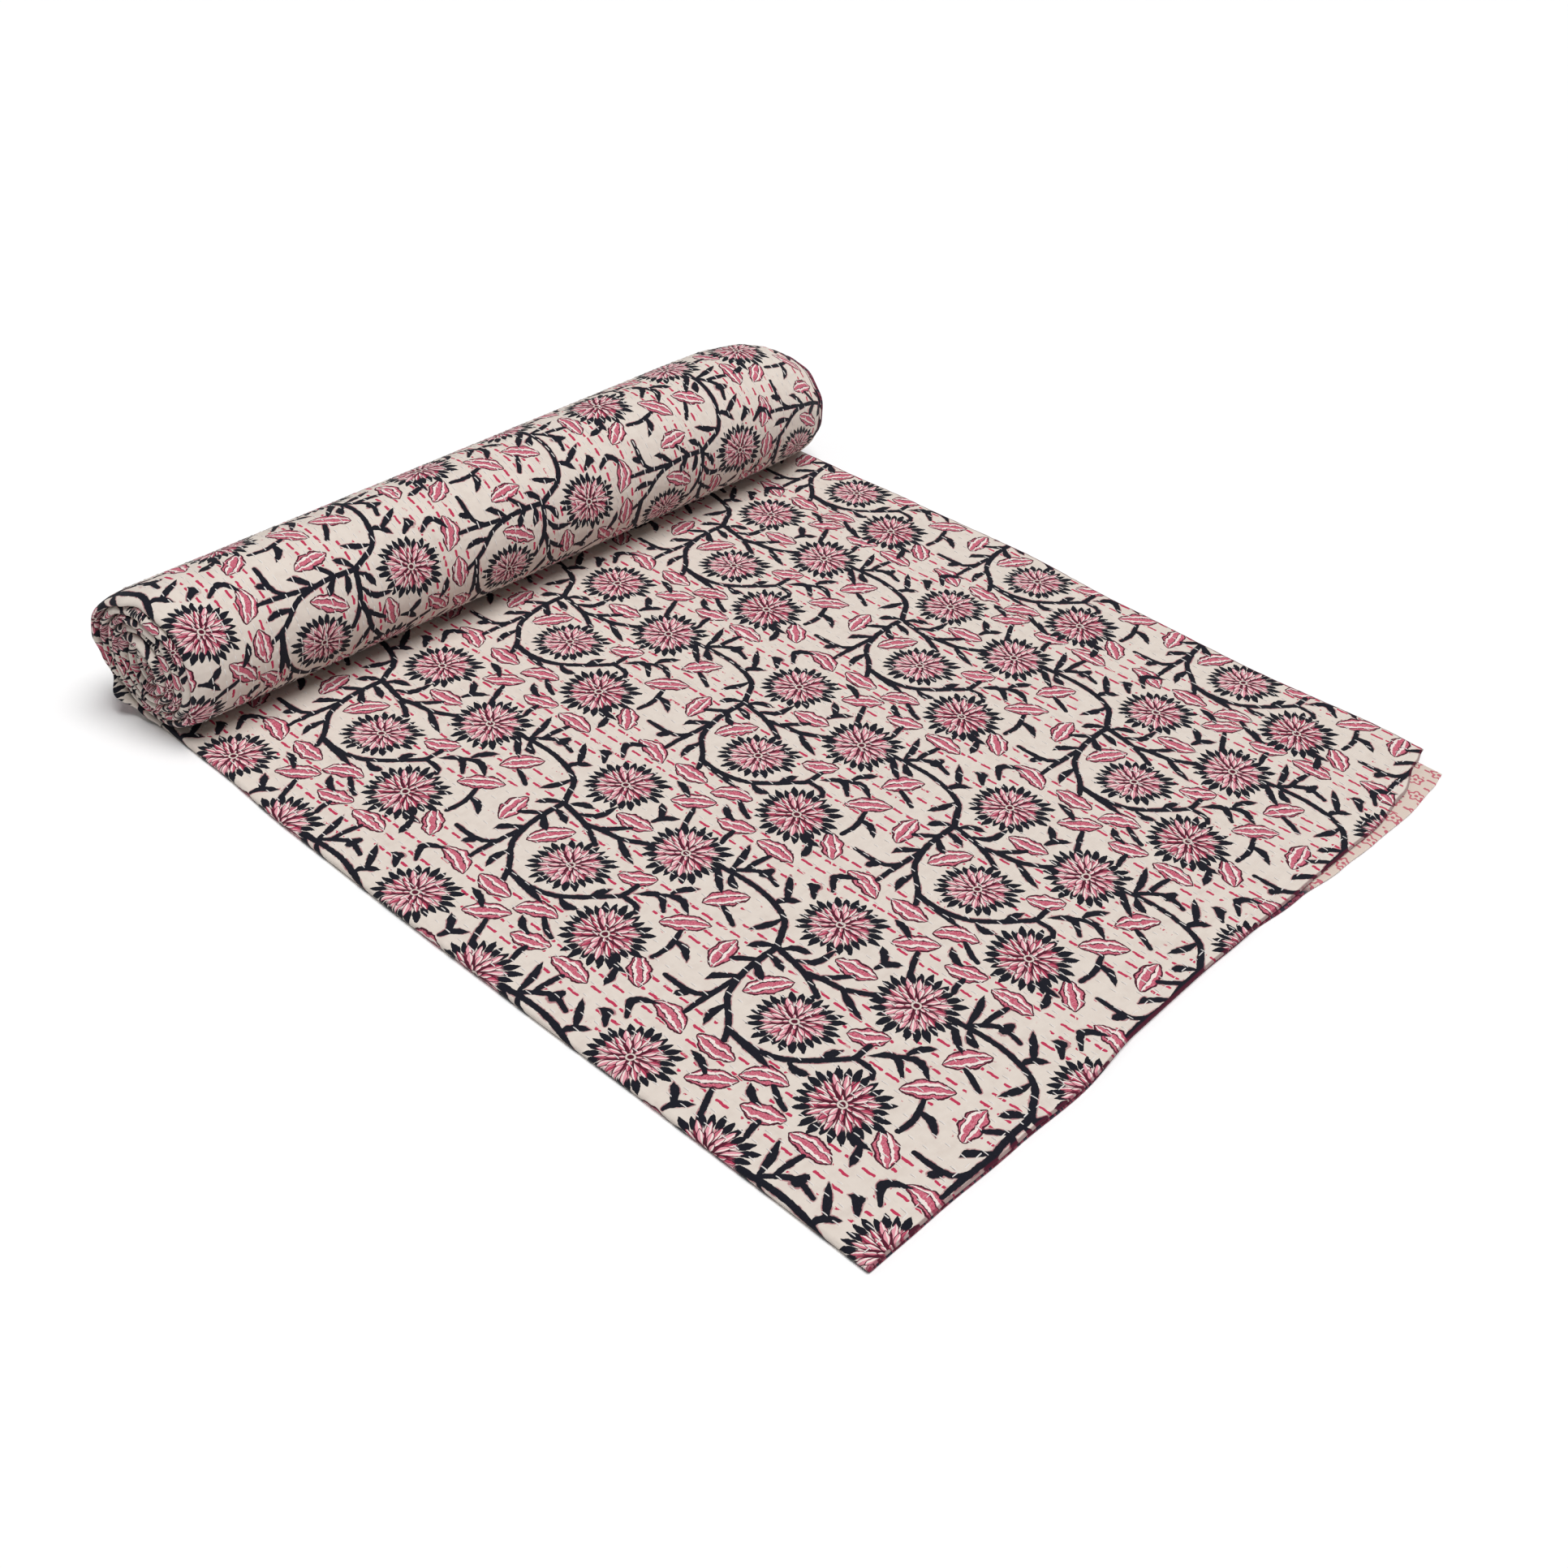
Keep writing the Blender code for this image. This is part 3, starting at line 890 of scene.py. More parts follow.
@dataclass
class ClothShell:
    """Closes a printed face into a leaf of cloth, with rounded edges and a coarser reverse.

    Args:
        thickness: the leaf's thickness.
        open_sides: the sides that show, whose edges are rounded.
        coarse: how many of the face's steps one face of the reverse spans.
        rim_steps: the faces round an edge.
    """

    thickness: float
    open_sides: tuple[Side, ...]
    coarse: int
    rim_steps: int = 4

    def close(self, mesh: ClothMesh, points: Array, chart: Array) -> None:
        """Adds the whole leaf to a mesh.

        Args:
            mesh: the mesh that it goes into.
            points: the printed face, rows by columns by 3; its rows cross its columns outwards.
            chart: the face's places on the print's chart, rows by columns by 3.
        """
        normal = surface_normals(points)
        face = mesh.add(points, chart)
        mesh.skin(face)
        rows, columns = face.shape
        walk = self._walk(rows, columns)
        outward = self._outward(points, walk)
        at = tuple(walk.T)
        rings = [face[at]]
        for step in range(1, self.rim_steps + 1):
            bend = math.pi * step / self.rim_steps
            reach = outward * math.sin(bend) - normal[at] * (1.0 - math.cos(bend))
            rings.append(mesh.add(points[at] + reach * self.thickness / 2.0, chart[at]))
        for number, (outer, inner) in enumerate(zip(rings[:-1], rings[1:])):
            band = np.stack([np.append(outer, outer[0]), np.append(inner, inner[0])], axis=1)
            mesh.skin(band, look=int(number >= self.rim_steps // 2), flip=True)
        self._reverse(mesh, points - normal * self.thickness, chart, walk, rings[-1])

    @staticmethod
    def _walk(rows: int, columns: int) -> Array:
        """Walks once round the grid's rim.

        Args:
            rows: the grid's rows.
            columns: its columns.

        Returns:
            Each place's row and column.
        """
        down, across = np.arange(rows - 1), np.arange(columns - 1)
        return np.vstack(
            [
                np.column_stack([down, np.zeros_like(down)]),
                np.column_stack([np.full_like(across, rows - 1), across]),
                np.column_stack([rows - 1 - down, np.full_like(down, columns - 1)]),
                np.column_stack([np.zeros_like(across), columns - 1 - across]),
            ]
        )

    def _outward(self, points: Array, walk: Array) -> Array:
        """Finds the direction away from the leaf at each place on its rim.

        Args:
            points: the printed face, rows by columns by 3.
            walk: the rim's rows and columns.

        Returns:
            The directions, nothing on a hidden side.
        """
        last_row, last_column = points.shape[0] - 1, points.shape[1] - 1
        down, along = unit(np.gradient(points, axis=0)), unit(np.gradient(points, axis=1))
        ways = {
            Side.FIRST_COLUMN: (walk[:, 1] == 0, -along),
            Side.LAST_ROW: (walk[:, 0] == last_row, down),
            Side.LAST_COLUMN: (walk[:, 1] == last_column, along),
            Side.FIRST_ROW: (walk[:, 0] == 0, -down),
        }
        outward = np.zeros((len(walk), 3))
        for side in self.open_sides:
            there, way = ways[side]
            outward[there] += way[tuple(walk[there].T)]
        length = np.linalg.norm(outward, axis=1, keepdims=True)
        return np.where(length > 1e-6, outward / np.maximum(length, 1e-6), 0.0)

    def _reverse(
        self, mesh: ClothMesh, points: Array, chart: Array, walk: Array, ring: Array
    ) -> None:
        """Fills the reverse with coarse cells, which meet the rim at every one of its points.

        Args:
            mesh: the mesh that they go into.
            points: the reverse, rows by columns by 3.
            chart: its places on the print's chart.
            walk: the rim's rows and columns.
            ring: the numbers of the rim's points.
        """
        number = np.full(points.shape[:2], -1)
        number[tuple(walk.T)] = ring
        step = self.coarse
        inner = np.zeros(points.shape[:2], dtype=bool)
        inner[step:-1:step, step:-1:step] = True
        number[inner] = mesh.add(points[inner], chart[inner])
        rows, columns = points.shape[0] - 1, points.shape[1] - 1
        for row in range(0, rows, step):
            for column in range(0, columns, step):
                sides = (
                    [(row, column + k) for k in range(step)],
                    [(row + k, column + step) for k in range(step)],
                    [(row + step, column + step - k) for k in range(step)],
                    [(row + step - k, column) for k in range(step)],
                )
                mesh.cell([int(number[at]) for side in sides for at in side if number[at] >= 0])


# The rows of running stitches, and the relief that they give the cloth.
QUILTING_ROW_CM = 1.25
STITCH_PITCH_CM = 1.24
HEM_ROW_CM = 1.1  # from the cut edge to the row that holds the hem
ROW_DEPTH_MM = 0.17
RIPPLE_MM = 0.14
SEAM_MM, SEAM_SPREAD_CM = 0.45, 0.28
WELT_MM, WELT_SPREAD_CM = 0.15, 0.40
WELT_MIDDLE_CM = 0.45 * HEM_ROW_CM
PUCKER_MM = 0.45


def quilted(chart: Array) -> Array:
    """How far the running stitches raise the printed face, or draw it in.

    Args:
        chart: places along and across the chart and from the cut edge, in centimetres.

    Returns:
        The heights in metres, one for each place.
    """
    along, across, edge = chart[..., 0], chart[..., 1], chart[..., 2]
    row = np.cos(2.0 * np.pi * across / QUILTING_ROW_CM)
    pull = 0.75 + 0.25 * np.cos(2.0 * np.pi * along / STITCH_PITCH_CM + across * 2.1)
    ripple = waves(along + 0.7 * across, (3.1, 4.7, 7.9), 1.3)
    rows = -ROW_DEPTH_MM * (1.0 + row) * pull + RIPPLE_MM * ripple
    seam = np.exp(-(((edge - HEM_ROW_CM) / SEAM_SPREAD_CM) ** 2))
    welt = np.exp(-(((edge - WELT_MIDDLE_CM) / WELT_SPREAD_CM) ** 2))
    pucker = waves(along + 1.3 * across, (1.7, 2.6, 4.1), 0.6)
    return (rows - SEAM_MM * seam + (WELT_MM + PUCKER_MM * pucker) * welt) * MM


def cells_in(length: float, step: float, coarse: int) -> int:
    """How many steps a length takes, in whole cells of the reverse."""
    return coarse * round(length / step / coarse)


@dataclass
class LooseEnd:
    """The loose end's two leaves, joined by the fold that the upper one carries round.

    Args:
        face_step: the size of the upper leaf's faces.
        face_coarse: how many of them one face of its reverse spans.
        under_step: the size of the lower leaf's faces.
        under_coarse: how many of them one face of its reverse spans.
        fold_round: how far the fold's round nose reaches out.
        fold_steps: the faces round the fold.
        under_lap: how far the upper leaf's cloth goes on under the fold.
        sewn_from: where the stitches start, from the line under the roll.
        hem_clear: how far they stop from the hem.
        side_clear: how far they stop from the open edge.
        seed: what their unevenness is drawn from.
    """

    face_step: float = 0.003
    face_coarse: int = 6
    under_step: float = 0.006
    under_coarse: int = 3
    fold_round: float = 0.004
    fold_steps: int = 10
    under_lap: float = 0.006
    sewn_from: float = 0.012
    hem_clear: float = 0.008
    side_clear: float = 0.006
    seed: int = 11

    def _spread(self, leaf: str, share: Array, across: Array) -> tuple[Array, Array, Array]:
        """Places on a leaf.

        Args:
            leaf: upper or lower.
            share: the share of the way from the roll to the hem.
            across: the nominal place from the fold to the open edge.

        Returns:
            Each place's x and y in the quilt's own axes, and its way to the nearest cut edge.
        """
        reach = FORM.flat_run + HEM.eased(leaf, across) - FORM.leaf / 2.0
        x = reach * share
        fold_out = SIDES.eased("fold_out", x)
        opened = SIDES.eased(f"{leaf}_open", x) - FORM.leaf / 2.0
        y = -fold_out + (opened + fold_out) * across / FORM.width
        return x, y, np.minimum(reach - x, opened - y)

    def upper(self) -> ClothMesh:
        """Builds the upper leaf, from its open edge over the fold to just under it.

        Returns:
            Its mesh.
        """
        mesh = ClothMesh("upper_leaf")
        rows = cells_in(FORM.flat_run, self.face_step, self.face_coarse)
        columns = cells_in(FORM.width, self.face_step, self.face_coarse)
        laps = np.array([[self.under_lap, self.under_lap / 2.0]])
        columns -= self.fold_steps + laps.size
        share = np.linspace(0.0, 1.0, rows + 1)[:, None]
        across = np.linspace(self.fold_round, FORM.width, columns + 1)[None, :]
        share, across = np.broadcast_arrays(share, across)
        x, y, edge = self._spread("upper", share, across)
        chart = np.stack([FORM.flat_run - x, y, edge], axis=-1) / CM
        height = FORM.top_height(x, y) + quilted(chart)
        top = np.stack([x, y, height], axis=-1)
        bend = np.linspace(np.pi, 0.0, self.fold_steps + 1)[None, :-1]
        start = top[:, :1]
        middle = start[..., 2] / 2.0
        nose_y = start[..., 1] - self.fold_round * np.sin(bend)
        nose_z = middle * (1.0 + np.cos(bend))
        nose_x = np.broadcast_to(start[..., 0], nose_y.shape)
        nose = np.stack([nose_x, nose_y, nose_z], axis=-1)
        lap = nose[:, :1].repeat(2, axis=1)
        lap[:, :, 1] += laps
        points = np.concatenate([lap, nose, top], axis=1)
        turned = np.concatenate([np.full_like(laps, np.pi), bend], axis=1)
        run = -(self.fold_round + FORM.stack / 2.0) / 2.0 * turned
        run = run - np.concatenate([laps, np.zeros_like(bend)], axis=1)
        nose_chart = chart[:, :1].repeat(run.shape[1], axis=1)
        nose_chart[..., 1] += run / CM
        chart = np.concatenate([nose_chart, chart], axis=1)
        shell = ClothShell(FORM.leaf, (Side.LAST_ROW, Side.LAST_COLUMN), self.face_coarse)
        shell.close(mesh, points, chart)
        return mesh

    def lower(self) -> ClothMesh:
        """Builds the lower leaf, printed face down, from its open edge to under the fold.

        Returns:
            Its mesh.
        """
        mesh = ClothMesh("lower_leaf")
        rows = cells_in(FORM.flat_run, self.under_step, self.under_coarse)
        columns = cells_in(FORM.width, self.under_step, self.under_coarse)
        share = np.linspace(0.0, 1.0, rows + 1)[:, None]
        across = np.linspace(FORM.width, self.fold_round + self.under_lap, columns + 1)[None, :]
        share, across = np.broadcast_arrays(share, across)
        x, y, edge = self._spread("lower", share, across)
        chart = np.stack([FORM.flat_run - x, -y - self.under_lap, edge], axis=-1) / CM
        points = np.stack([x, y, np.zeros_like(x)], axis=-1)
        shell = ClothShell(FORM.leaf, (Side.FIRST_COLUMN, Side.LAST_ROW), self.under_coarse)
        shell.close(mesh, points, chart)
        return mesh

    def stitch_places(self) -> tuple[Array, Array, Array]:
        """Where the running stitches lie on the upper leaf.

        Returns:
            Each stitch's middle, direction and cloth normal, in the quilt's own axes.
        """
        chance = np.random.default_rng(self.seed)
        rows = np.arange(QUILTING_ROW_CM * CM, FORM.width - self.side_clear, QUILTING_ROW_CM * CM)
        pitch = STITCH_PITCH_CM * CM
        middles = np.arange(pitch / 2.0, FORM.flat_run + FORM.hem_reach, pitch)
        across, x = np.meshgrid(rows, middles, indexing="ij")
        x = x + chance.uniform(0.0, pitch, (len(rows), 1)) + chance.normal(0.0, 0.0007, x.shape)
        sway = 0.0014 * waves(x + 3.7 * across, (0.21, 0.34, 0.13), 0.4)
        across = across + sway + chance.normal(0.0, 0.0003, x.shape)
        fold_out = SIDES.eased("fold_out", x)
        y = -fold_out + (SIDES.eased("upper_open", x) + fold_out) * across / FORM.width
        kept = x < FORM.flat_run + HEM.eased("upper", across) - self.hem_clear
        kept &= x > self.sewn_from
        x, y = x[kept], y[kept]
        hem_across = np.arange(self.hem_clear, FORM.width - self.hem_clear, pitch)
        inset = HEM_ROW_CM * CM + chance.normal(0.0, 0.0004, hem_across.shape)
        hem_x = FORM.flat_run + HEM.eased("upper", hem_across) - inset
        hem_y = hem_across + chance.normal(0.0, 0.0006, hem_across.shape)
        way = np.zeros((len(x) + len(hem_x), 3))
        way[: len(x), 0] = 1.0
        way[len(x) :, 1] = 1.0
        x, y = np.concatenate([x, hem_x]), np.concatenate([y, hem_y])
        edge = FORM.flat_run + HEM.eased("upper", y) - x
        edge = np.minimum(edge, SIDES.eased("upper_open", x) - y)
        chart = np.stack([FORM.flat_run - x, y, edge], axis=-1) / CM
        z = FORM.top_height(x, y) + quilted(chart)
        return np.stack([x, y, z], axis=-1), way, np.tile((0.0, 0.0, 1.0), (len(x), 1))


@dataclass
class Roll:
    """The roll: its outer turn, and the turns inside it where they show at its two ends.

    Args:
        skin_step: the size of the outer turn's faces.
        turn_step: the inner turns' steps along the winding.
        skin_end_deg: where the outer turn meets the loose end, and the inner ones start.
        lip_round: how far a lip's round nose reaches in from the folded end.
        lip_steps: the faces round a lip.
        lip_air: the air between one lip and the next.
        lip_print_scale: how much finer the print is on the inner turns' lips.
        end_depth: how far into the roll its ends' cloth is carried.
        edge_steps: the faces round a cut edge.
        start_cm: where the print's chart starts at the nip.
        lean_cm: how far the chart leans for each centimetre across.
        along_scale: the chart's length for each length of cloth along the winding.
        across_scale: the same across the quilt.
        across_start_cm: where the chart starts at the folded end.
        folded_end_share: the winding's length at the folded end, as a share of the open end's.
        sewn_deg: the turns between which the stitches lie.
        seed: what their unevenness is drawn from.
    """

    skin_step: float = 0.0028
    turn_step: float = 0.0036
    skin_end_deg: float = 352.0
    lip_round: float = 0.0045
    lip_steps: int = 9
    lip_air: float = 0.0009
    lip_print_scale: float = 1.6
    end_depth: float = 0.030
    edge_steps: int = 4
    start_cm: float = 7.7
    lean_cm: float = 0.03
    along_scale: float = 1.12
    across_scale: float = 1.044
    across_start_cm: float = -0.6
    folded_end_share: float = 0.9
    sewn_deg: tuple[float, float] = (8.0, 346.0)
    seed: int = 12

    def chart(self, turn_deg: Array, across: Array, run: Array) -> Array:
        """Places on the print's chart.

        Args:
            turn_deg: the angle round the winding.
            across: from the folded end.
            run: the cloth's own way across, which goes on round its folds.

        Returns:
            Along and across the chart, and the way to the open edge, in centimetres.
        """
        up = FORM.arc_up_cm(turn_deg, across)
        along = self.along_scale * up + self.start_cm + self.lean_cm * across / CM
        y = self.across_scale * run / CM + self.across_start_cm
        edge = (FORM.width - OPEN_EDGES.eased("outer", turn_deg) - across) / CM
        return np.stack(np.broadcast_arrays(along, y, edge), axis=-1)

    def lip(self, turn_deg: Array) -> tuple[Array, Array, Array]:
        """The folded end's section at each turn, from the inner leaf round to the outer one.

        Args:
            turn_deg: the turns, as a column.

        Returns:
            Across, depth and the cloth's own way across, turns by section points.
        """
        room = FORM.wound_in(turn_deg + 360.0) - FORM.wound_in(turn_deg)
        thick = room - self.lip_air
        bend = np.linspace(np.pi, 0.0, self.lip_steps + 1)[None, :]
        across = self.lip_round * (1.0 - np.sin(bend)) + 0.0 * thick
        depth = thick / 2.0 * (1.0 - np.cos(bend))
        inner = np.linspace(self.end_depth, self.lip_round, 5)[None, :-1] + 0.0 * thick
        across = np.concatenate([inner, across], axis=1)
        depth = np.concatenate([np.broadcast_to(thick, inner.shape), depth], axis=1)
        gap = np.hypot(np.diff(across, axis=1), np.diff(depth, axis=1))
        after = np.cumsum(gap[:, ::-1], axis=1)[:, ::-1]
        run = np.concatenate([self.lip_round - after, np.full_like(thick, self.lip_round)], axis=1)
        return across, depth, run

    def rim(self, edge: Array, back_steps: int) -> tuple[Array, Array]:
        """A leaf's cut edge, from its outer face round to its inner one and back into the roll.

        Args:
            edge: where the outer face ends at each turn, as a column.
            back_steps: the faces along the inner one.

        Returns:
            Across and depth, turns by section points.
        """
        bend = np.linspace(0.0, np.pi, self.edge_steps + 1)[None, 1:]
        back = edge - np.linspace(0.0, self.end_depth, back_steps + 1)[None, 1:]
        across = np.concatenate([edge + FORM.leaf / 2.0 * np.sin(bend), back], axis=1)
        depth = FORM.leaf / 2.0 * (1.0 - np.cos(bend)) + 0.0 * edge
        return across, np.concatenate([depth, np.full_like(back, FORM.leaf)], axis=1)

    def crumpled(self, turn_deg: Array, across: Array) -> Array:
        """How far the folded end's turns are pushed in from round, fading inside the roll.

        Args:
            turn_deg: the angle round the winding.
            across: from the folded end.

        Returns:
            The depths, less than nothing where a turn is pushed out.
        """
        fade = np.clip(1.0 - across / 0.05, 0.0, 1.0)
        inside = np.clip((turn_deg - 300.0) / 200.0, 0.0, 1.0)
        oval = 0.0013 * np.sin(np.radians(2.0 * turn_deg + 40.0)) * inside
        own = 0.0009 * waves(turn_deg, (97.0, 143.0, 61.0), 0.8) * inside
        lifted = np.sin(np.radians(turn_deg) / 2.0) ** 2
        return (oval + own + 0.0007 * waves(turn_deg, (33.0, 47.0), 2.1)) * fade * lifted

    def skin_depth(self, turn_deg: Array, across: Array, chart: Array) -> Array:
        """How far the outer turn's face lies in from its round form, crumpled and quilted."""
        lifted = np.sqrt(np.abs(np.sin(np.radians(turn_deg) / 2.0)))
        return self.crumpled(turn_deg, across) - quilted(chart) * lifted

    def outer_turn(self) -> ClothMesh:
        """Builds the outer turn, from the lowest line over the back and down into the nip.

        Returns:
            Its mesh.
        """
        mesh = ClothMesh("roll_outer_turn")
        around = round(math.radians(self.skin_end_deg) * FORM.radius_open / self.skin_step)
        turn = np.linspace(0.0, self.skin_end_deg, around + 1)[:, None]
        lip_across, lip_depth, lip_run = self.lip(turn)
        edge = FORM.width - OPEN_EDGES.eased("outer", turn) - FORM.leaf / 2.0
        share = np.linspace(0.0, 1.0, round(FORM.width / self.skin_step) + 1)[None, 1:]
        across = self.lip_round + (edge - self.lip_round) * share
        rim_across, rim_depth = self.rim(edge, 3)
        depth = np.concatenate([lip_depth, np.zeros_like(across), rim_depth], axis=1)
        across = np.concatenate([lip_across, across, rim_across], axis=1)
        run = np.concatenate([lip_run, across[:, lip_run.shape[1] :]], axis=1)
        chart = self.chart(turn, across, run)
        depth = depth + self.skin_depth(turn, across, chart)
        face = mesh.add(FORM.roll_points(turn, across, depth), chart)
        turned = lip_run.shape[1] + share.shape[1] + self.edge_steps // 2
        mesh.skin(face[:, :turned])
        mesh.skin(face[:, turned - 1 :], look=1)
        return mesh

    def _turns(self, first_deg: float, across: float) -> Array:
        """Divides the inner turns into about equal steps along the cloth.

        Args:
            first_deg: the angle that they start at.
            across: where across the quilt, since the roll is fatter at its open end.

        Returns:
            The angles, as a column.
        """
        angles = [first_deg]
        last = FORM.last_turn_deg(across)
        while angles[-1] < last:
            radius = float(FORM.full_radius(np.array(across)) - FORM.wound_in(np.array(angles[-1])))
            angles.append(angles[-1] + min(math.degrees(self.turn_step / max(radius, 0.004)), 14.0))
        return np.array(angles)[:, None]

    def folded_turns(self) -> ClothMesh:
        """Builds the lips of the inner turns at the folded end.

        Returns:
            Their mesh.
        """
        mesh = ClothMesh("roll_folded_turns")
        turn = self._turns(self.skin_end_deg, 0.0)
        lip_across, lip_depth, lip_run = self.lip(turn)
        outer = np.linspace(self.lip_round, self.end_depth, 5)[None, 1:] + 0.0 * turn
        across = np.concatenate([lip_across, outer], axis=1)
        depth = np.concatenate([lip_depth, 0.0 * outer], axis=1)
        run = np.concatenate([lip_run, outer], axis=1)
        chart = self.chart(turn, across, run) * self.lip_print_scale
        depth = depth + self.crumpled(turn, across)
        face = mesh.add(FORM.roll_points(turn, across, depth), chart)
        mesh.skin(face)
        return mesh

    def open_turns(self, leaf: str) -> ClothMesh:
        """Builds one leaf's edge at the open end, winding in.

        Args:
            leaf: outer or inner, of the two leaves of each turn.

        Returns:
            Its mesh.
        """
        mesh = ClothMesh(f"roll_{leaf}_edges")
        turn = self._turns(self.skin_end_deg if leaf == "outer" else 0.0, FORM.width)
        below = 0.0 if leaf == "outer" else FORM.leaf + FORM.leaf_gap * 0.6
        edge = FORM.width - OPEN_EDGES.eased(leaf, turn) - FORM.leaf / 2.0
        outer = edge - np.linspace(self.end_depth, 0.0, 7)[None, :]
        rim_across, rim_depth = self.rim(edge, 4)
        across = np.concatenate([outer, rim_across], axis=1)
        depth = np.concatenate([np.zeros_like(outer), rim_depth], axis=1) + below
        wobble = 0.0004 * waves(turn, (71.0, 113.0, 45.0), 1.1 + below * 1000.0)
        lifted = np.sin(np.radians(turn) / 2.0) ** 2
        chart = self.chart(turn, across, across)
        face = mesh.add(FORM.roll_points(turn, across, depth + wobble * lifted), chart)
        printed_side = outer.shape[1] + self.edge_steps // 2
        mesh.skin(face[:, :printed_side], look=0 if leaf == "outer" else 1)
        mesh.skin(face[:, printed_side - 1 :], look=1 if leaf == "outer" else 0)
        return mesh

    def wound_length(self, first_deg: float, last_deg: float) -> float:
        """The cloth's length along the winding at the open end.

        Args:
            first_deg: the turn that it is measured from.
            last_deg: the turn that it is measured to.

        Returns:
            The length.
        """
        turn = np.linspace(first_deg, last_deg, 400)
        radius = FORM.full_radius(np.full_like(turn, FORM.width)) - FORM.wound_in(turn)
        return float(radius.mean() * math.radians(last_deg - first_deg))

    def stitch_places(self) -> tuple[Array, Array, Array]:
        """Where the running stitches lie on the outer turn.

        Returns:
            Each stitch's middle, direction and cloth normal, in the quilt's own axes.
        """
        chance = np.random.default_rng(self.seed)
        rows = np.arange(1.0, 60.0) * QUILTING_ROW_CM - self.across_start_cm
        rows = rows / self.across_scale * CM
        rows = rows[(rows > 0.012) & (rows < FORM.width - self.end_depth)]
        pitch = math.degrees(STITCH_PITCH_CM * CM / FORM.radius_open / self.along_scale)
        first, last = self.sewn_deg
        middles = np.arange(first, last - pitch, pitch)
        across, turn = np.meshgrid(rows, middles, indexing="ij")
        turn = turn + chance.uniform(0.0, pitch, (len(rows), 1))
        turn = turn + chance.normal(0.0, 0.5, turn.shape)
        across = across + 0.0012 * waves(turn + 900.0 * across, (170.0, 260.0, 90.0), 0.4)
        across, turn = across.ravel(), turn.ravel()

        def surface(turn_deg: Array, at: Array) -> Array:
            """The outer turn's face."""
            depth = self.skin_depth(turn_deg, at, self.chart(turn_deg, at, at))
            return FORM.roll_points(turn_deg, at, depth)

        middle = surface(turn, across)
        way = unit(surface(turn + 2.0, across) - surface(turn - 2.0, across))
        side = unit(surface(turn, across + 0.002) - surface(turn, across - 0.002))
        return middle, way, unit(np.cross(way, side))


# ------------------------------------------------------------------ shader nodes

Socket = bpy.types.NodeSocket
Colour = tuple[float, float, float, float]


def linear(red: int, green: int, blue: int) -> Colour:
    """Turns a colour as it looks on a screen into the renderer's own light.

    Args:
        red: its red, from 0 to 255, as the other two are.
        green: its green.
        blue: its blue.

    Returns:
        The colour, with full cover.
    """
    parts = [part / 255.0 for part in (red, green, blue)]
    curve = [p / 12.92 if p <= 0.04045 else ((p + 0.055) / 1.055) ** 2.4 for p in parts]
    return (*curve, 1.0)


def arithmetic(operation: str, swapped: bool = False) -> Callable[..., "Num"]:
    """A method of Num that adds one maths node.

    Args:
        operation: the node's operation.
        swapped: puts the number itself last.

    Returns:
        The method.
    """

    def method(self: "Num", *others: "Num | float") -> "Num":
        """The node's result."""
        values = (*others, self) if swapped else (self, *others)
        return self.graph.maths(operation, *values)

    return method


@dataclass(frozen=True)
class Num:
    """A number that a node gives. Arithmetic on it adds the nodes that work it out."""

    graph: "Graph"
    socket: Socket

    __add__ = __radd__ = arithmetic("ADD")
    __mul__ = __rmul__ = arithmetic("MULTIPLY")
    __sub__ = arithmetic("SUBTRACT")
    __rsub__ = arithmetic("SUBTRACT", swapped=True)
    __truediv__ = arithmetic("DIVIDE")
    __rtruediv__ = arithmetic("DIVIDE", swapped=True)
    __pow__ = arithmetic("POWER")
    __abs__ = arithmetic("ABSOLUTE")
    at_least = arithmetic("MAXIMUM")
    floor = arithmetic("FLOOR")
    fract = arithmetic("FRACT")
    sine = arithmetic("SINE")
    cosine = arithmetic("COSINE")

    def rise(self, low: float, high: float) -> "Num":
        """0 below low and 1 above high, with a smooth rise between."""
        return self._eased(low, high, 0.0, 1.0)

    def fall(self, low: float, high: float) -> "Num":
        """1 below low and 0 above high, with a smooth fall between."""
        return self._eased(low, high, 1.0, 0.0)

    def _eased(self, low: float, high: float, first: float, last: float) -> "Num":
        """One value below a range and another above it, with a smooth step between.

        Args:
            low: the range's start.
            high: its end.
            first: the value below it.
            last: the value above it.

        Returns:
            The stepped value.
        """
        ends = {"From Min": low, "From Max": high, "To Min": first, "To Max": last}
        inputs = {"Value": self, **ends}
        node = self.graph.put("ShaderNodeMapRange", inputs, interpolation_type="SMOOTHSTEP")
        return Num(self.graph, node.outputs[0])


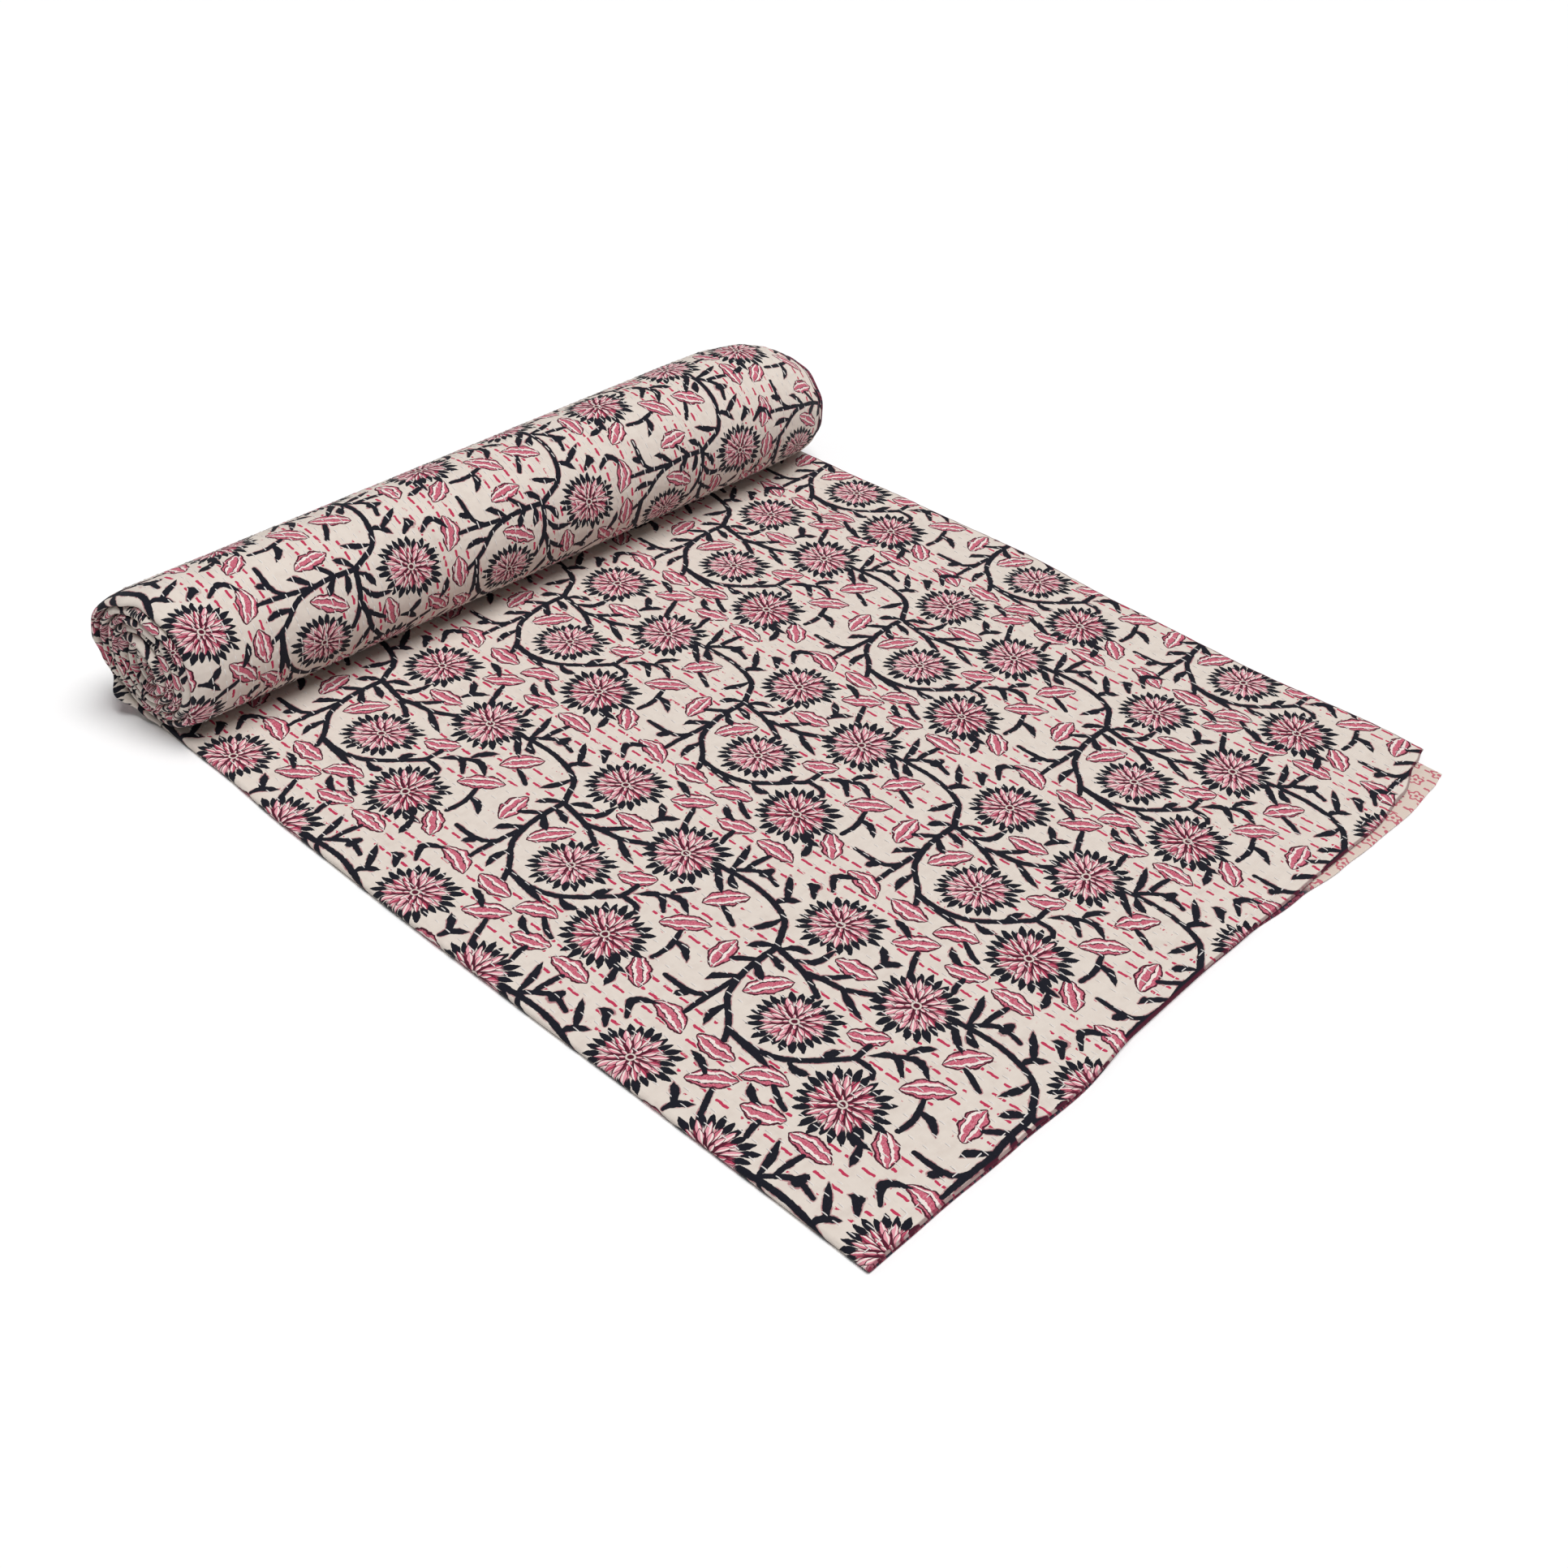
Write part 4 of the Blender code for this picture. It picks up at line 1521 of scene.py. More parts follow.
class Graph:
    """Places a tree's nodes from left to right and joins them."""

    def __init__(self, tree: bpy.types.NodeTree) -> None:
        """Starts on an empty tree."""
        self.tree = tree
        self.count = 0

    def put(self, kind: str, inputs: dict | None = None, **settings: object) -> bpy.types.Node:
        """Adds a node.

        Args:
            kind: the node's type.
            inputs: what goes into its sockets, by name or number: a value or another's output.
            settings: the node's own settings.

        Returns:
            The node.
        """
        node = self.tree.nodes.new(kind)
        node.location = (190.0 * (self.count % 24), -260.0 * (self.count // 24))
        self.count += 1
        for name, value in settings.items():
            setattr(node, name, value)
        for key, value in (inputs or {}).items():
            value = value.socket if isinstance(value, Num) else value
            if isinstance(value, Socket):
                self.tree.links.new(value, node.inputs[key])
            else:
                node.inputs[key].default_value = value
        return node

    def maths(self, operation: str, *values: Num | float) -> Num:
        """One step of arithmetic on numbers."""
        node = self.put("ShaderNodeMath", dict(enumerate(values)), operation=operation)
        return Num(self, node.outputs[0])

    def length(self, x: Num, y: Num) -> Num:
        """How long a step of x and y is."""
        node = self.put("ShaderNodeVectorMath", {0: self.joined(x, y)}, operation="LENGTH")
        return Num(self, node.outputs["Value"])

    def parts(self, vector: Socket) -> list[Num]:
        """A vector's three numbers."""
        return [Num(self, part) for part in self.put("ShaderNodeSeparateXYZ", {0: vector}).outputs]

    def joined(self, x: Num | float, y: Num | float, z: Num | float = 0.0) -> Socket:
        """A vector of three numbers."""
        return self.put("ShaderNodeCombineXYZ", {0: x, 1: y, 2: z}).outputs[0]

    def mixed(self, share: Num, under: Socket | Colour, over: Socket | Colour) -> Socket:
        """One colour over another."""
        node = self.put("ShaderNodeMix", {0: share, 6: under, 7: over}, data_type="RGBA")
        return node.outputs[2]

    def noise(self, at: Socket, scale: float, detail: float = 2.0) -> Num:
        """Smooth noise about 0, from about -0.5 to 0.5."""
        node = self.put("ShaderNodeTexNoise", {"Vector": at, "Scale": scale, "Detail": detail})
        return Num(self, node.outputs[0]) - 0.5

    def chance(self, seed: Num) -> Num:
        """A number from 0 to 1 that this seed always gives."""
        node = self.put("ShaderNodeTexWhiteNoise", {"W": seed}, noise_dimensions="1D")
        return Num(self, node.outputs["Value"])

    def attribute(self, name: str) -> Socket:
        """A vector that the mesh carries."""
        return self.put("ShaderNodeAttribute", attribute_name=name).outputs["Vector"]

    def shared(self, effect: bpy.types.NodeTree, **inputs: object) -> dict[str, Num]:
        """Places a shared effect, with its inputs by name, and gives its outputs by name."""
        node = self.put("ShaderNodeGroup", inputs, node_tree=effect)
        return {socket.name: Num(self, socket) for socket in node.outputs}

    def surface(self, colour: Socket, rough: Num, relief: Num, bump: dict, **extra: float) -> None:
        """Ends a material's tree with its shader.

        Args:
            colour: the base colour.
            rough: the roughness.
            relief: the height of its low relief.
            bump: the relief's strength and distance.
            extra: the shader's other inputs, with _ for each space in their names.
        """
        normal = self.put("ShaderNodeBump", {"Height": relief, **bump}).outputs[0]
        inputs = {"Base Color": colour, "Roughness": rough, "Normal": normal}
        inputs |= {name.replace("_", " "): value for name, value in extra.items()}
        shader = self.put("ShaderNodeBsdfPrincipled", inputs)
        self.put("ShaderNodeOutputMaterial", {"Surface": shader.outputs[0]})


def new_material(name: str) -> tuple[bpy.types.Material, Graph]:
    """Makes a material with an empty tree.

    Args:
        name: the material's name.

    Returns:
        The material, and its tree's graph.
    """
    look = bpy.data.materials.new(name)
    look.use_nodes = True
    look.node_tree.nodes.clear()
    return look, Graph(look.node_tree)


@dataclass(frozen=True)
class SharedEffect:
    """A node group that finishes share.

    Args:
        name: the group's name.
        inputs: each input's usual value by name, or None for a vector.
        outputs: the names of its outputs, all numbers.
    """

    name: str
    inputs: dict[str, float | None]
    outputs: tuple[str, ...]

    def started(self) -> tuple[Graph, list]:
        """Makes the group.

        Returns:
            Its graph and its inputs, in order.
        """
        tree = bpy.data.node_groups.new(self.name, "ShaderNodeTree")
        for name, value in self.inputs.items():
            kind = "NodeSocketVector" if value is None else "NodeSocketFloat"
            socket = tree.interface.new_socket(name, in_out="INPUT", socket_type=kind)
            if value is not None:
                socket.default_value = value
        for name in self.outputs:
            tree.interface.new_socket(name, in_out="OUTPUT", socket_type="NodeSocketFloat")
        graph = Graph(tree)
        entry = graph.put("NodeGroupInput").outputs
        facts = self.inputs.items()
        return graph, [entry[n] if v is None else Num(graph, entry[n]) for n, v in facts]

    def finished(self, graph: Graph, *results: Num) -> bpy.types.NodeTree:
        """Joins the results to the outputs, in order, and gives the group."""
        graph.put("NodeGroupOutput", dict(zip(self.outputs, results, strict=True)))
        return graph.tree


def stroke_effect() -> bpy.types.NodeTree:
    """How far a place is outside one straight piece of a stroke, in centimetres.

    Returns:
        The node group.
    """
    effect = SharedEffect("brushed stroke", {"Frame": None}, ("Distance",))
    graph, (own_frame,) = effect.started()
    run, side, half_width = graph.parts(own_frame)
    past = (abs(run) - SEGMENT_CM / 2.0).at_least(0.0)
    return effect.finished(graph, graph.length(past, side) - half_width)


def petal_effect() -> bpy.types.NodeTree:
    """One ring of pointed petals round a flower's middle, in the flower's own radii.

    Returns:
        The node group.
    """
    facts = {"Count": 20.0, "Turn": 0.0, "Inner": 0.2, "Outer": 1.0, "Fullness": 0.85}
    inputs = {"Radius": 0.0, "Angle": 0.0, **facts, "Belly": 1.3, "Unevenness": 0.20}
    effect = SharedEffect("ring of petals", inputs, ("Inside", "Along", "Side", "Chance"))
    graph, given = effect.started()
    radius, angle, count, turn, inner, outer, fullness, belly, unevenness = given
    place = angle * (0.5 / math.pi) * count + turn
    chance = graph.chance(graph.maths("WRAP", place.floor(), count, 0.0) + turn)
    off = place.fract() * 2.0 - 1.0
    outer = (chance - 0.5) * unevenness + outer
    along = (radius - inner) / (outer - inner)
    end = abs(along.at_least(0.0001) ** belly * 2.0 - 1.0)
    half = (1.0 - end**1.4) * fullness
    width = radius * math.pi / count
    return effect.finished(graph, (half - abs(off)) * width, along, off * width, chance)


def leaf_effect() -> bpy.types.NodeTree:
    """One printed leaf: its outline, its lengthwise bands and the lines between them.

    Returns:
        The node group.
    """
    inputs = {"Frame": None, "Wobble": 0.0}
    effect = SharedEffect("banded leaf", inputs, ("Fill", "Band", "Line", "Outside"))
    graph, (own_frame, wobble) = effect.started()
    run, side, seed = graph.parts(own_frame)
    side = wobble * 0.35 + side
    notch = (run * 9.0 + seed * 2.0).sine()
    body = (1.0 - run * run).at_least(0.0) ** 0.72 * (notch * 0.08 + 1.03)
    inside = body - abs(side)
    rim = inside.rise(-0.03, 0.01) * inside.fall(0.15, 0.24)
    phase = (run * 5.0 + seed).sine() * 0.3 + wobble * 0.6 + (seed * 4.1).sine() * 0.7
    across = side / body.at_least(0.2) * (math.pi * 2.4) + phase
    band = across.cosine()
    line = abs(band + 0.40).fall(0.24, 0.46) * inside.rise(0.05, 0.2)
    line = line * across.sine().rise(-0.2, 0.2)
    fill = inside.rise(-0.01, 0.05)
    outside = inside * -LEAF_HALF_WIDTH_CM
    return effect.finished(graph, fill, band.rise(-0.52, -0.38), rim.at_least(line), outside)


def dash_effect() -> bpy.types.NodeTree:
    """Rows of short printed dashes along the cloth.

    Returns:
        The node group.
    """
    sizes = {"Row": 1.25, "Pitch": 1.45, "Length": 0.88, "Width": 0.24}
    inputs = {"Chart": None, "Wobble": 0.0, **sizes, "Share": 0.80}
    effect = SharedEffect("printed dashes", inputs, ("Dash",))
    graph, (chart, wobble, row_width, pitch, length, width, share) = effect.started()
    along, across, _ = graph.parts(chart)
    row = (wobble * 0.22 + across) / row_width
    number = row.floor()
    place = along / pitch + graph.chance(number) * 3.0
    cell = number * 57.0 + place.floor()
    chance = graph.chance(cell)
    run = abs((chance * 0.16 + (place.fract() - 0.5 - 0.08)) * pitch)
    past = (run - length * (chance * 0.14 + 0.42)).at_least(0.0)
    off = (chance - 0.5) * 0.12 + (row.fract() - 0.5) * row_width
    outside = graph.length(past, off) - width * 0.5
    drawn = graph.noise(chart, 0.35) * 1.6 + share
    drawn = (drawn - graph.chance(cell + 0.5)).rise(0.0, 0.05)
    return effect.finished(graph, outside.fall(-0.02, 0.02) * drawn)


def quilting_effect() -> bpy.types.NodeTree:
    """The cloth's low relief in millimetres: its weave, and the puckers along the stitches.

    Returns:
        The node group.
    """
    inputs = {"Chart": None, "Thread": 0.055, "Pucker": 1.0}
    effect = SharedEffect("quilting relief", inputs, ("Height", "Weave"))
    graph, (chart, thread, pucker) = effect.started()
    along, across, _ = graph.parts(chart)
    threads = 2.0 * math.pi / thread
    weave = (along * threads).sine() * (across * threads).sine()
    slub = graph.noise(graph.joined(along * 0.25, across), 9.0, 3.0)
    off = abs((across / QUILTING_ROW_CM + 0.5).fract() - 0.5) * QUILTING_ROW_CM
    beat = (along * (2.0 * math.pi / STITCH_PITCH_CM)).sine() * 0.4 + 0.6
    dimple = off.fall(0.0, 0.22) * beat
    ripple = graph.noise(graph.joined(along * 1.5, across * 0.6), 1.1, 3.0)
    broad = graph.noise(chart, 0.16)
    puckers = broad * 1.2 + (dimple * -0.30 + ripple * 0.55)
    height = slub * 0.06 + (weave * 0.025 + puckers * pucker)
    return effect.finished(graph, height, weave * 0.5 + slub)


@dataclass
class SharedEffects:
    """The node groups that the quilt's finishes share, one for each of the effects above."""

    stroke: bpy.types.NodeTree
    petals: bpy.types.NodeTree
    leaf: bpy.types.NodeTree
    dashes: bpy.types.NodeTree
    quilting: bpy.types.NodeTree

    @staticmethod
    def made() -> "SharedEffects":
        """Builds each group once.

        Returns:
            All of them.
        """
        return SharedEffects(
            stroke_effect(), petal_effect(), leaf_effect(), dash_effect(), quilting_effect()
        )


# ------------------------------------------------------------------ finishes


@dataclass(frozen=True)
class PetalRing:
    """One ring of a printed flower, in the flower's own radii."""

    count: float
    turn: float
    inner: float
    outer: float
    fullness: float
    belly: float
    light: float


PETAL_RINGS = (
    PetalRing(27.0, 0.20, 0.22, 1.05, 0.97, 1.8, -0.10),
    PetalRing(18.0, 0.65, 0.10, 0.79, 0.76, 1.5, 0.00),
    PetalRing(13.0, 0.10, 0.05, 0.55, 0.76, 1.4, 0.05),
    PetalRing(8.0, 0.45, 0.02, 0.32, 0.76, 1.2, 0.20),
)


class PrintReading:
    """What the print's layers read at each place on the cloth: its noise and the motifs near it.

    Distances are in centimetres, and a flower's own in its radii.
    """

    def __init__(self, graph: Graph, effects: SharedEffects) -> None:
        """Adds the nodes that read them.

        Args:
            graph: the material's graph.
            effects: the shared node groups.
        """
        self.graph, self.effects = graph, effects
        self.chart = graph.attribute("chart")
        self.wobble = graph.noise(self.chart, 2.1)
        self.grain = graph.noise(self.chart, 8.0)
        self.patch = graph.noise(self.chart, 0.9)
        self.ink = self.wobble * 0.16 + self.grain * 0.05
        own_leaf = graph.attribute("leaf")
        self.leaf = graph.shared(effects.leaf, Frame=own_leaf, Wobble=self.wobble)
        self.bloom = graph.parts(graph.attribute("bloom"))
        self.radius = graph.length(*self.bloom[:2])
        self.vine = self._vine() + self.ink

    def _vine(self) -> Num:
        """Joins the nearest strokes.

        Returns:
            How far a place is outside the vine and its twigs.
        """
        frames = [self.graph.attribute(f"vine_{kept}") for kept in range(STROKES_KEPT)]
        apart = [self.graph.shared(self.effects.stroke, Frame=own)["Distance"] for own in frames]
        nearest = apart[0]
        for outside in apart[1:]:
            nearest = self.graph.maths("SMOOTH_MIN", nearest, outside, 0.05)
        return nearest


@dataclass(frozen=True)
class PrintedCotton:
    """Cream cotton with a block print of flowers, banded leaves, a dark vine and red dashes."""

    ground: Colour = linear(221, 210, 200)
    ground_shade: Colour = linear(206, 192, 182)
    navy: Colour = linear(22, 23, 33)
    navy_worn: Colour = linear(50, 44, 60)
    red: Colour = linear(186, 52, 84)
    rose: Colour = linear(180, 66, 92)
    pale_rose: Colour = linear(224, 152, 164)
    wine: Colour = linear(88, 20, 42)
    cream: Colour = linear(236, 222, 216)
    outline: Colour = linear(66, 20, 36)
    fringe: Colour = linear(150, 44, 74)
    roughness: float = 0.86
    sheen: float = 0.06
    dash_band_cm: float = 10.25
    dash_band_start_cm: float = 4.9

    def made(self, effects: SharedEffects) -> bpy.types.Material:
        """Builds the material.

        Args:
            effects: the shared node groups.

        Returns:
            The material.
        """
        look, graph = new_material("printed cotton")
        at = PrintReading(graph, effects)
        relief = graph.shared(effects.quilting, Chart=at.chart)
        colour = graph.mixed(at.patch.rise(-0.2, 0.7), self.ground, self.ground_shade)
        for layer in (self._dashed, self._leafed, self._vined, self._flowered):
            colour = layer(at, colour)
        # Lighter where the weave's threads and the slubs stand higher in the relief, darker where
        # they lie lower.
        worn = {"Color": colour, "Value": relief["Weave"] * 0.05 + 1.0}
        colour = graph.put("ShaderNodeHueSaturation", worn).outputs[0]
        # Darker wine within a millimetre or two of every cut edge: partly the print's own dark hem,
        # partly painted shade along the edge over the gap below it.
        edge_print_and_shade = graph.parts(at.chart)[2].fall(0.02, 0.16) * 0.65
        colour = graph.mixed(edge_print_and_shade, colour, self.wine)
        graph.surface(
            colour,
            at.grain * 0.1 + self.roughness,
            relief["Height"],
            {"Strength": 0.9, "Distance": MM},
            Sheen_Weight=self.sheen,
            Sheen_Roughness=0.5,
            Specular_IOR_Level=0.15,
        )
        return look

    def _dashed(self, at: PrintReading, colour: Socket) -> Socket:
        """The red dashes, in bands across the cloth and clear of the motifs.

        Args:
            at: what the print reads at each place.
            colour: the colour under this layer.

        Returns:
            The colour with it.
        """
        dash = at.graph.shared(at.effects.dashes, Chart=at.chart, Wobble=at.wobble)["Dash"]
        across = at.graph.parts(at.chart)[1]
        band = ((across + self.dash_band_start_cm) / self.dash_band_cm).fract()
        shown = (at.wobble * 0.25 + abs(band - 0.5)).rise(0.16, 0.19)
        clear = at.vine.rise(0.08, 0.12) * at.radius.rise(1.0, 1.04)
        clear = clear * at.leaf["Outside"].rise(0.02, 0.08)
        return at.graph.mixed(dash * shown * clear, colour, self.red)

    def _leafed(self, at: PrintReading, colour: Socket) -> Socket:
        """The banded leaves.

        Args:
            at: what the print reads at each place.
            colour: the colour under this layer.

        Returns:
            The colour with it.
        """
        rose = at.graph.mixed(at.grain.rise(-0.25, 0.45), self.rose, self.pale_rose)
        bands = at.graph.mixed(at.leaf["Band"], self.cream, rose)
        bands = at.graph.mixed(at.leaf["Line"], bands, self.outline)
        return at.graph.mixed(at.leaf["Fill"], colour, bands)

    def _vined(self, at: PrintReading, colour: Socket) -> Socket:
        """The dark vine, with a red fringe where the blocks met unevenly.

        Args:
            at: what the print reads at each place.
            colour: the colour under this layer.

        Returns:
            The colour with it.
        """
        fringe = at.vine.fall(0.05, 0.11) * at.patch.rise(-0.1, 0.1)
        colour = at.graph.mixed(fringe * 0.7, colour, self.fringe)
        dark = at.graph.mixed(at.grain.rise(0.05, 0.4), self.navy, self.navy_worn)
        return at.graph.mixed(at.vine.fall(-0.02, 0.02), colour, dark)

    def _flowered(self, at: PrintReading, colour: Socket) -> Socket:
        """The flowers, ring by ring from the outside in.

        Args:
            at: what the print reads at each place.
            colour: the colour under this layer.

        Returns:
            The colour with it.
        """
        mixed = at.graph.mixed
        x, y, tone = at.bloom
        angle = at.ink * 0.5 + at.graph.maths("ARCTAN2", y, x)
        wavy = at.ink * 0.25 + at.radius
        tone = tone * 0.8 - 0.4
        colour = mixed(wavy.fall(0.52, 0.66), colour, self.wine)
        for order, ring in enumerate(PETAL_RINGS):
            facts = {name.title(): value for name, value in vars(ring).items() if name != "light"}
            petal = at.graph.shared(at.effects.petals, Radius=wavy, Angle=angle, **facts)
            inside, along, side, chance = petal.values()
            light = side.rise(-0.004, 0.012) * 0.5 + (chance * 0.8 + (tone + ring.light))
            fill = mixed(light.rise(0.35, 0.75), self.rose, self.pale_rose)
            root = (chance * 0.25 + along).fall(0.35, 0.65) * 0.8
            fill = mixed(root, fill, self.wine)
            streak = abs(side - 0.022).fall(0.012, 0.024) * chance.rise(0.12, 0.25)
            fill = mixed(streak * along.rise(0.2, 0.4), fill, self.cream)
            if order == 0:
                fill = mixed((at.grain * 0.2 + along).rise(0.44, 0.56), fill, self.navy)
            else:
                fill = mixed(inside.fall(0.009, 0.022), fill, self.outline)
            colour = mixed(inside.rise(-0.006, 0.002), colour, fill)
        colour = mixed(wavy.fall(0.10, 0.13), colour, self.ground)
        return mixed(wavy.fall(0.06, 0.09), colour, self.wine)


@dataclass(frozen=True)
class ReverseCotton:
    """The leaves' reverse: cream cotton with small outlined sprigs and red dashes."""

    ground: Colour = linear(212, 196, 184)
    rose: Colour = linear(182, 62, 90)
    wine: Colour = linear(88, 26, 46)
    navy: Colour = linear(44, 40, 54)
    hem_ground: Colour = linear(132, 66, 82)
    hem_turned_from_cm: tuple[float, float] = (-54.0, -52.0)
    roughness: float = 0.86
    sprig_along_cm: float = 2.3
    sprig_across_cm: float = 2.1

    def made(self, effects: SharedEffects) -> bpy.types.Material:
        """Builds the material.

        Args:
            effects: the shared node groups.

        Returns:
            The material.
        """
        look, graph = new_material("reverse cotton")
        chart = graph.attribute("chart")
        wobble = graph.noise(chart, 2.3)
        along, across, edge = graph.parts(chart)
        relief = graph.shared(effects.quilting, Chart=chart)

        row = across / self.sprig_across_cm
        x = (along / self.sprig_along_cm + row.floor() * 0.5).fract() - 0.5
        x, y = x * self.sprig_along_cm, (row.fract() - 0.5) * self.sprig_across_cm
        apart = graph.length(x, y)
        lobes = (graph.maths("ARCTAN2", y, x) * 5.0).cosine()
        sprig = abs(wobble * 0.3 + (apart - (lobes * 0.13 + 0.55))).fall(0.08, 0.14)
        dash = graph.shared(effects.dashes, Chart=chart, Wobble=wobble)["Dash"]
        drawn = sprig.at_least(dash * apart.rise(0.7, 0.8)).at_least(apart.fall(0.14, 0.2))
        colour = graph.mixed(drawn * 0.85, self.ground, self.rose)

        turned = (wobble * 0.1 + edge).fall(1.25, 1.30) * across.rise(*self.hem_turned_from_cm)
        blot = graph.noise(chart, 1.6)
        hem = graph.mixed(blot.rise(0.02, 0.06), self.hem_ground, self.navy)
        hem = graph.mixed(blot.fall(-0.07, -0.03), hem, self.wine)
        colour = graph.mixed(turned, colour, hem)

        # Lighter where the weave's threads and the slubs stand higher in the relief, darker where
        # they lie lower.
        worn = {"Color": colour, "Value": relief["Weave"] * 0.05 + 1.0}
        colour = graph.put("ShaderNodeHueSaturation", worn).outputs[0]
        rough = wobble * 0.1 + self.roughness
        bump = {"Strength": 0.9, "Distance": MM}
        graph.surface(colour, rough, relief["Height"], bump, Specular_IOR_Level=0.25)
        return look


@dataclass(frozen=True)
class WhiteThread:
    """The running stitches' soft white cotton thread, two strands twisted together."""

    colour: Colour = linear(240, 236, 232)
    shade: Colour = linear(214, 206, 202)
    roughness: float = 0.7
    sheen: float = 0.1
    fibre_scale: float = 2200.0

    def made(self) -> bpy.types.Material:
        """Builds the material.

        Returns:
            The material.
        """
        look, graph = new_material("white thread")
        place = graph.put("ShaderNodeTexCoord").outputs["Object"]
        fibre = graph.noise(place, self.fibre_scale)
        colour = graph.mixed(fibre.rise(-0.3, 0.3), self.shade, self.colour)
        rough = fibre * 0.1 + self.roughness
        bump = {"Strength": 0.4, "Distance": 0.2 * MM}
        graph.surface(colour, rough, fibre, bump, Sheen_Weight=self.sheen)
        return look


# ------------------------------------------------------------------ running stitches


@dataclass
class RunningStitches:
    """The quilting's rows of running stitches, as threads that lie on the cloth.

    Args:
        length: a stitch's length on the face.
        thickness: the thread's thickness.
        sides: the faces round a thread.
        steps: the points along it.
        seed: what the stitches' unevenness is drawn from.
    """

    length: float = 0.0084
    thickness: float = 0.00100
    sides: int = 5
    steps: int = 5
    seed: int = 7

    @staticmethod
    def _rotation(way: Array, normal: Array) -> Array:
        """The turn that lays X along the thread and Z off the cloth, as Euler angles.

        Args:
            way: each thread's direction.
            normal: the cloth's normal there.

        Returns:
            The angles, threads by 3.
        """
        side = unit(np.cross(normal, way))
        up = np.cross(way, side)
        pitch = np.arcsin(np.clip(-way[:, 2], -1.0, 1.0))
        yaw = np.arctan2(way[:, 1], way[:, 0])
        roll = np.arctan2(side[:, 2], up[:, 2])
        return np.stack([roll, pitch, yaw], axis=1)

    @staticmethod
    def tree(thread: bpy.types.Material) -> bpy.types.NodeTree:
        """The node tree that lays one thread on each point.

        Args:
            thread: the thread's material.

        Returns:
            A Geometry Nodes tree with the stitch's sizes as named inputs.
        """
        tree = bpy.data.node_groups.new("running stitches", "GeometryNodeTree")
        sockets = {"Geometry": "Geometry", "Length": "Float", "Thickness": "Float"}
        for name, kind in {**sockets, "Sides": "Int", "Steps": "Int"}.items():
            tree.interface.new_socket(name, in_out="INPUT", socket_type=f"NodeSocket{kind}")
        tree.interface.new_socket("Geometry", in_out="OUTPUT", socket_type="NodeSocketGeometry")
        graph = Graph(tree)

        def put(kind: str, inputs: dict | None = None, **settings: object) -> Socket:
            """Adds a node and gives its first output."""
            return graph.put(kind, inputs, **settings).outputs[0]

        given = graph.put("NodeGroupInput").outputs
        thickness = Num(graph, given["Thickness"])
        half = Num(graph, given["Length"]) * 0.5
        ends = {0: graph.joined(half * -1.0, 0.0), 1: graph.joined(half, 0.0)}
        line = put("GeometryNodeCurvePrimitiveLine", ends)
        line = put("GeometryNodeResampleCurve", {"Curve": line, "Count": given["Steps"]})
        share = graph.parts(put("GeometryNodeInputPosition"))[0] / half
        towards_end = (share * share) * (share * share)
        arch = graph.joined(0.0, 0.0, thickness * 0.12 - towards_end * thickness)
        line = put("GeometryNodeSetPosition", {"Geometry": line, "Offset": arch})
        round_it = {"Resolution": given["Sides"], "Radius": thickness * 0.5}
        ring = put("GeometryNodeCurvePrimitiveCircle", round_it)
        sweep = {"Curve": line, "Profile Curve": ring, "Fill Caps": True}
        stitch = put("GeometryNodeCurveToMesh", {**sweep, "Scale": 1.0 - towards_end * 0.55})
        spin, size = (
            put("GeometryNodeInputNamedAttribute", {"Name": name}, data_type="FLOAT_VECTOR")
            for name in ("spin", "size")
        )
        where = {"Points": given["Geometry"], "Instance": stitch, "Scale": size}
        turn = put("FunctionNodeEulerToRotation", {0: spin})
        laid = put("GeometryNodeInstanceOnPoints", {**where, "Rotation": turn})
        real = put("GeometryNodeRealizeInstances", {0: laid})
        smooth = put("GeometryNodeSetShadeSmooth", {0: real})
        worn = put("GeometryNodeSetMaterial", {"Geometry": smooth, "Material": thread})
        graph.put("NodeGroupOutput", {0: worn})
        return tree

    def laid(
        self, name: str, points: Array, way: Array, normal: Array, thread: bpy.types.Material
    ) -> bpy.types.Object:
        """Lays the threads.

        Args:
            name: the piece's name.
            points: each stitch's middle, in the quilt's own axes.
            way: its direction.
            normal: the cloth's normal there.
            thread: its material.

        Returns:
            One plain mesh of all the stitches.
        """
        chance = np.random.default_rng(self.seed)
        sway = chance.normal(0.0, 0.05, (len(points), 1))
        way = unit(way + sway * np.cross(normal, way))
        size = np.ones((len(points), 3))
        size[:, 0] = chance.uniform(0.82, 1.12, len(points))
        size[:, 1:] = chance.uniform(0.85, 1.1, (len(points), 1))
        mesh = bpy.data.meshes.new(f"{name}_points")
        mesh.from_pydata(FORM.placed(points).tolist(), [], [])
        carry(mesh, "spin", "POINT", self._rotation(way, normal))
        carry(mesh, "size", "POINT", size)
        holder = in_scene(f"{name}_points", mesh)
        modifier = holder.modifiers.new("stitches", "NODES")
        modifier.node_group = self.tree(thread)
        for item in modifier.node_group.interface.items_tree:
            if item.in_out == "INPUT" and item.name != "Geometry":
                modifier[item.identifier] = getattr(self, item.name.lower())
        graph = bpy.context.evaluated_depsgraph_get()
        made = bpy.data.meshes.new_from_object(holder.evaluated_get(graph))
        made.name = name
        holder.modifiers.clear()
        bpy.data.objects.remove(holder)
        LOG.info("%s: %d stitches, %d faces", name, len(points), len(made.polygons))
        return in_scene(name, made)


# ------------------------------------------------------------------ studio


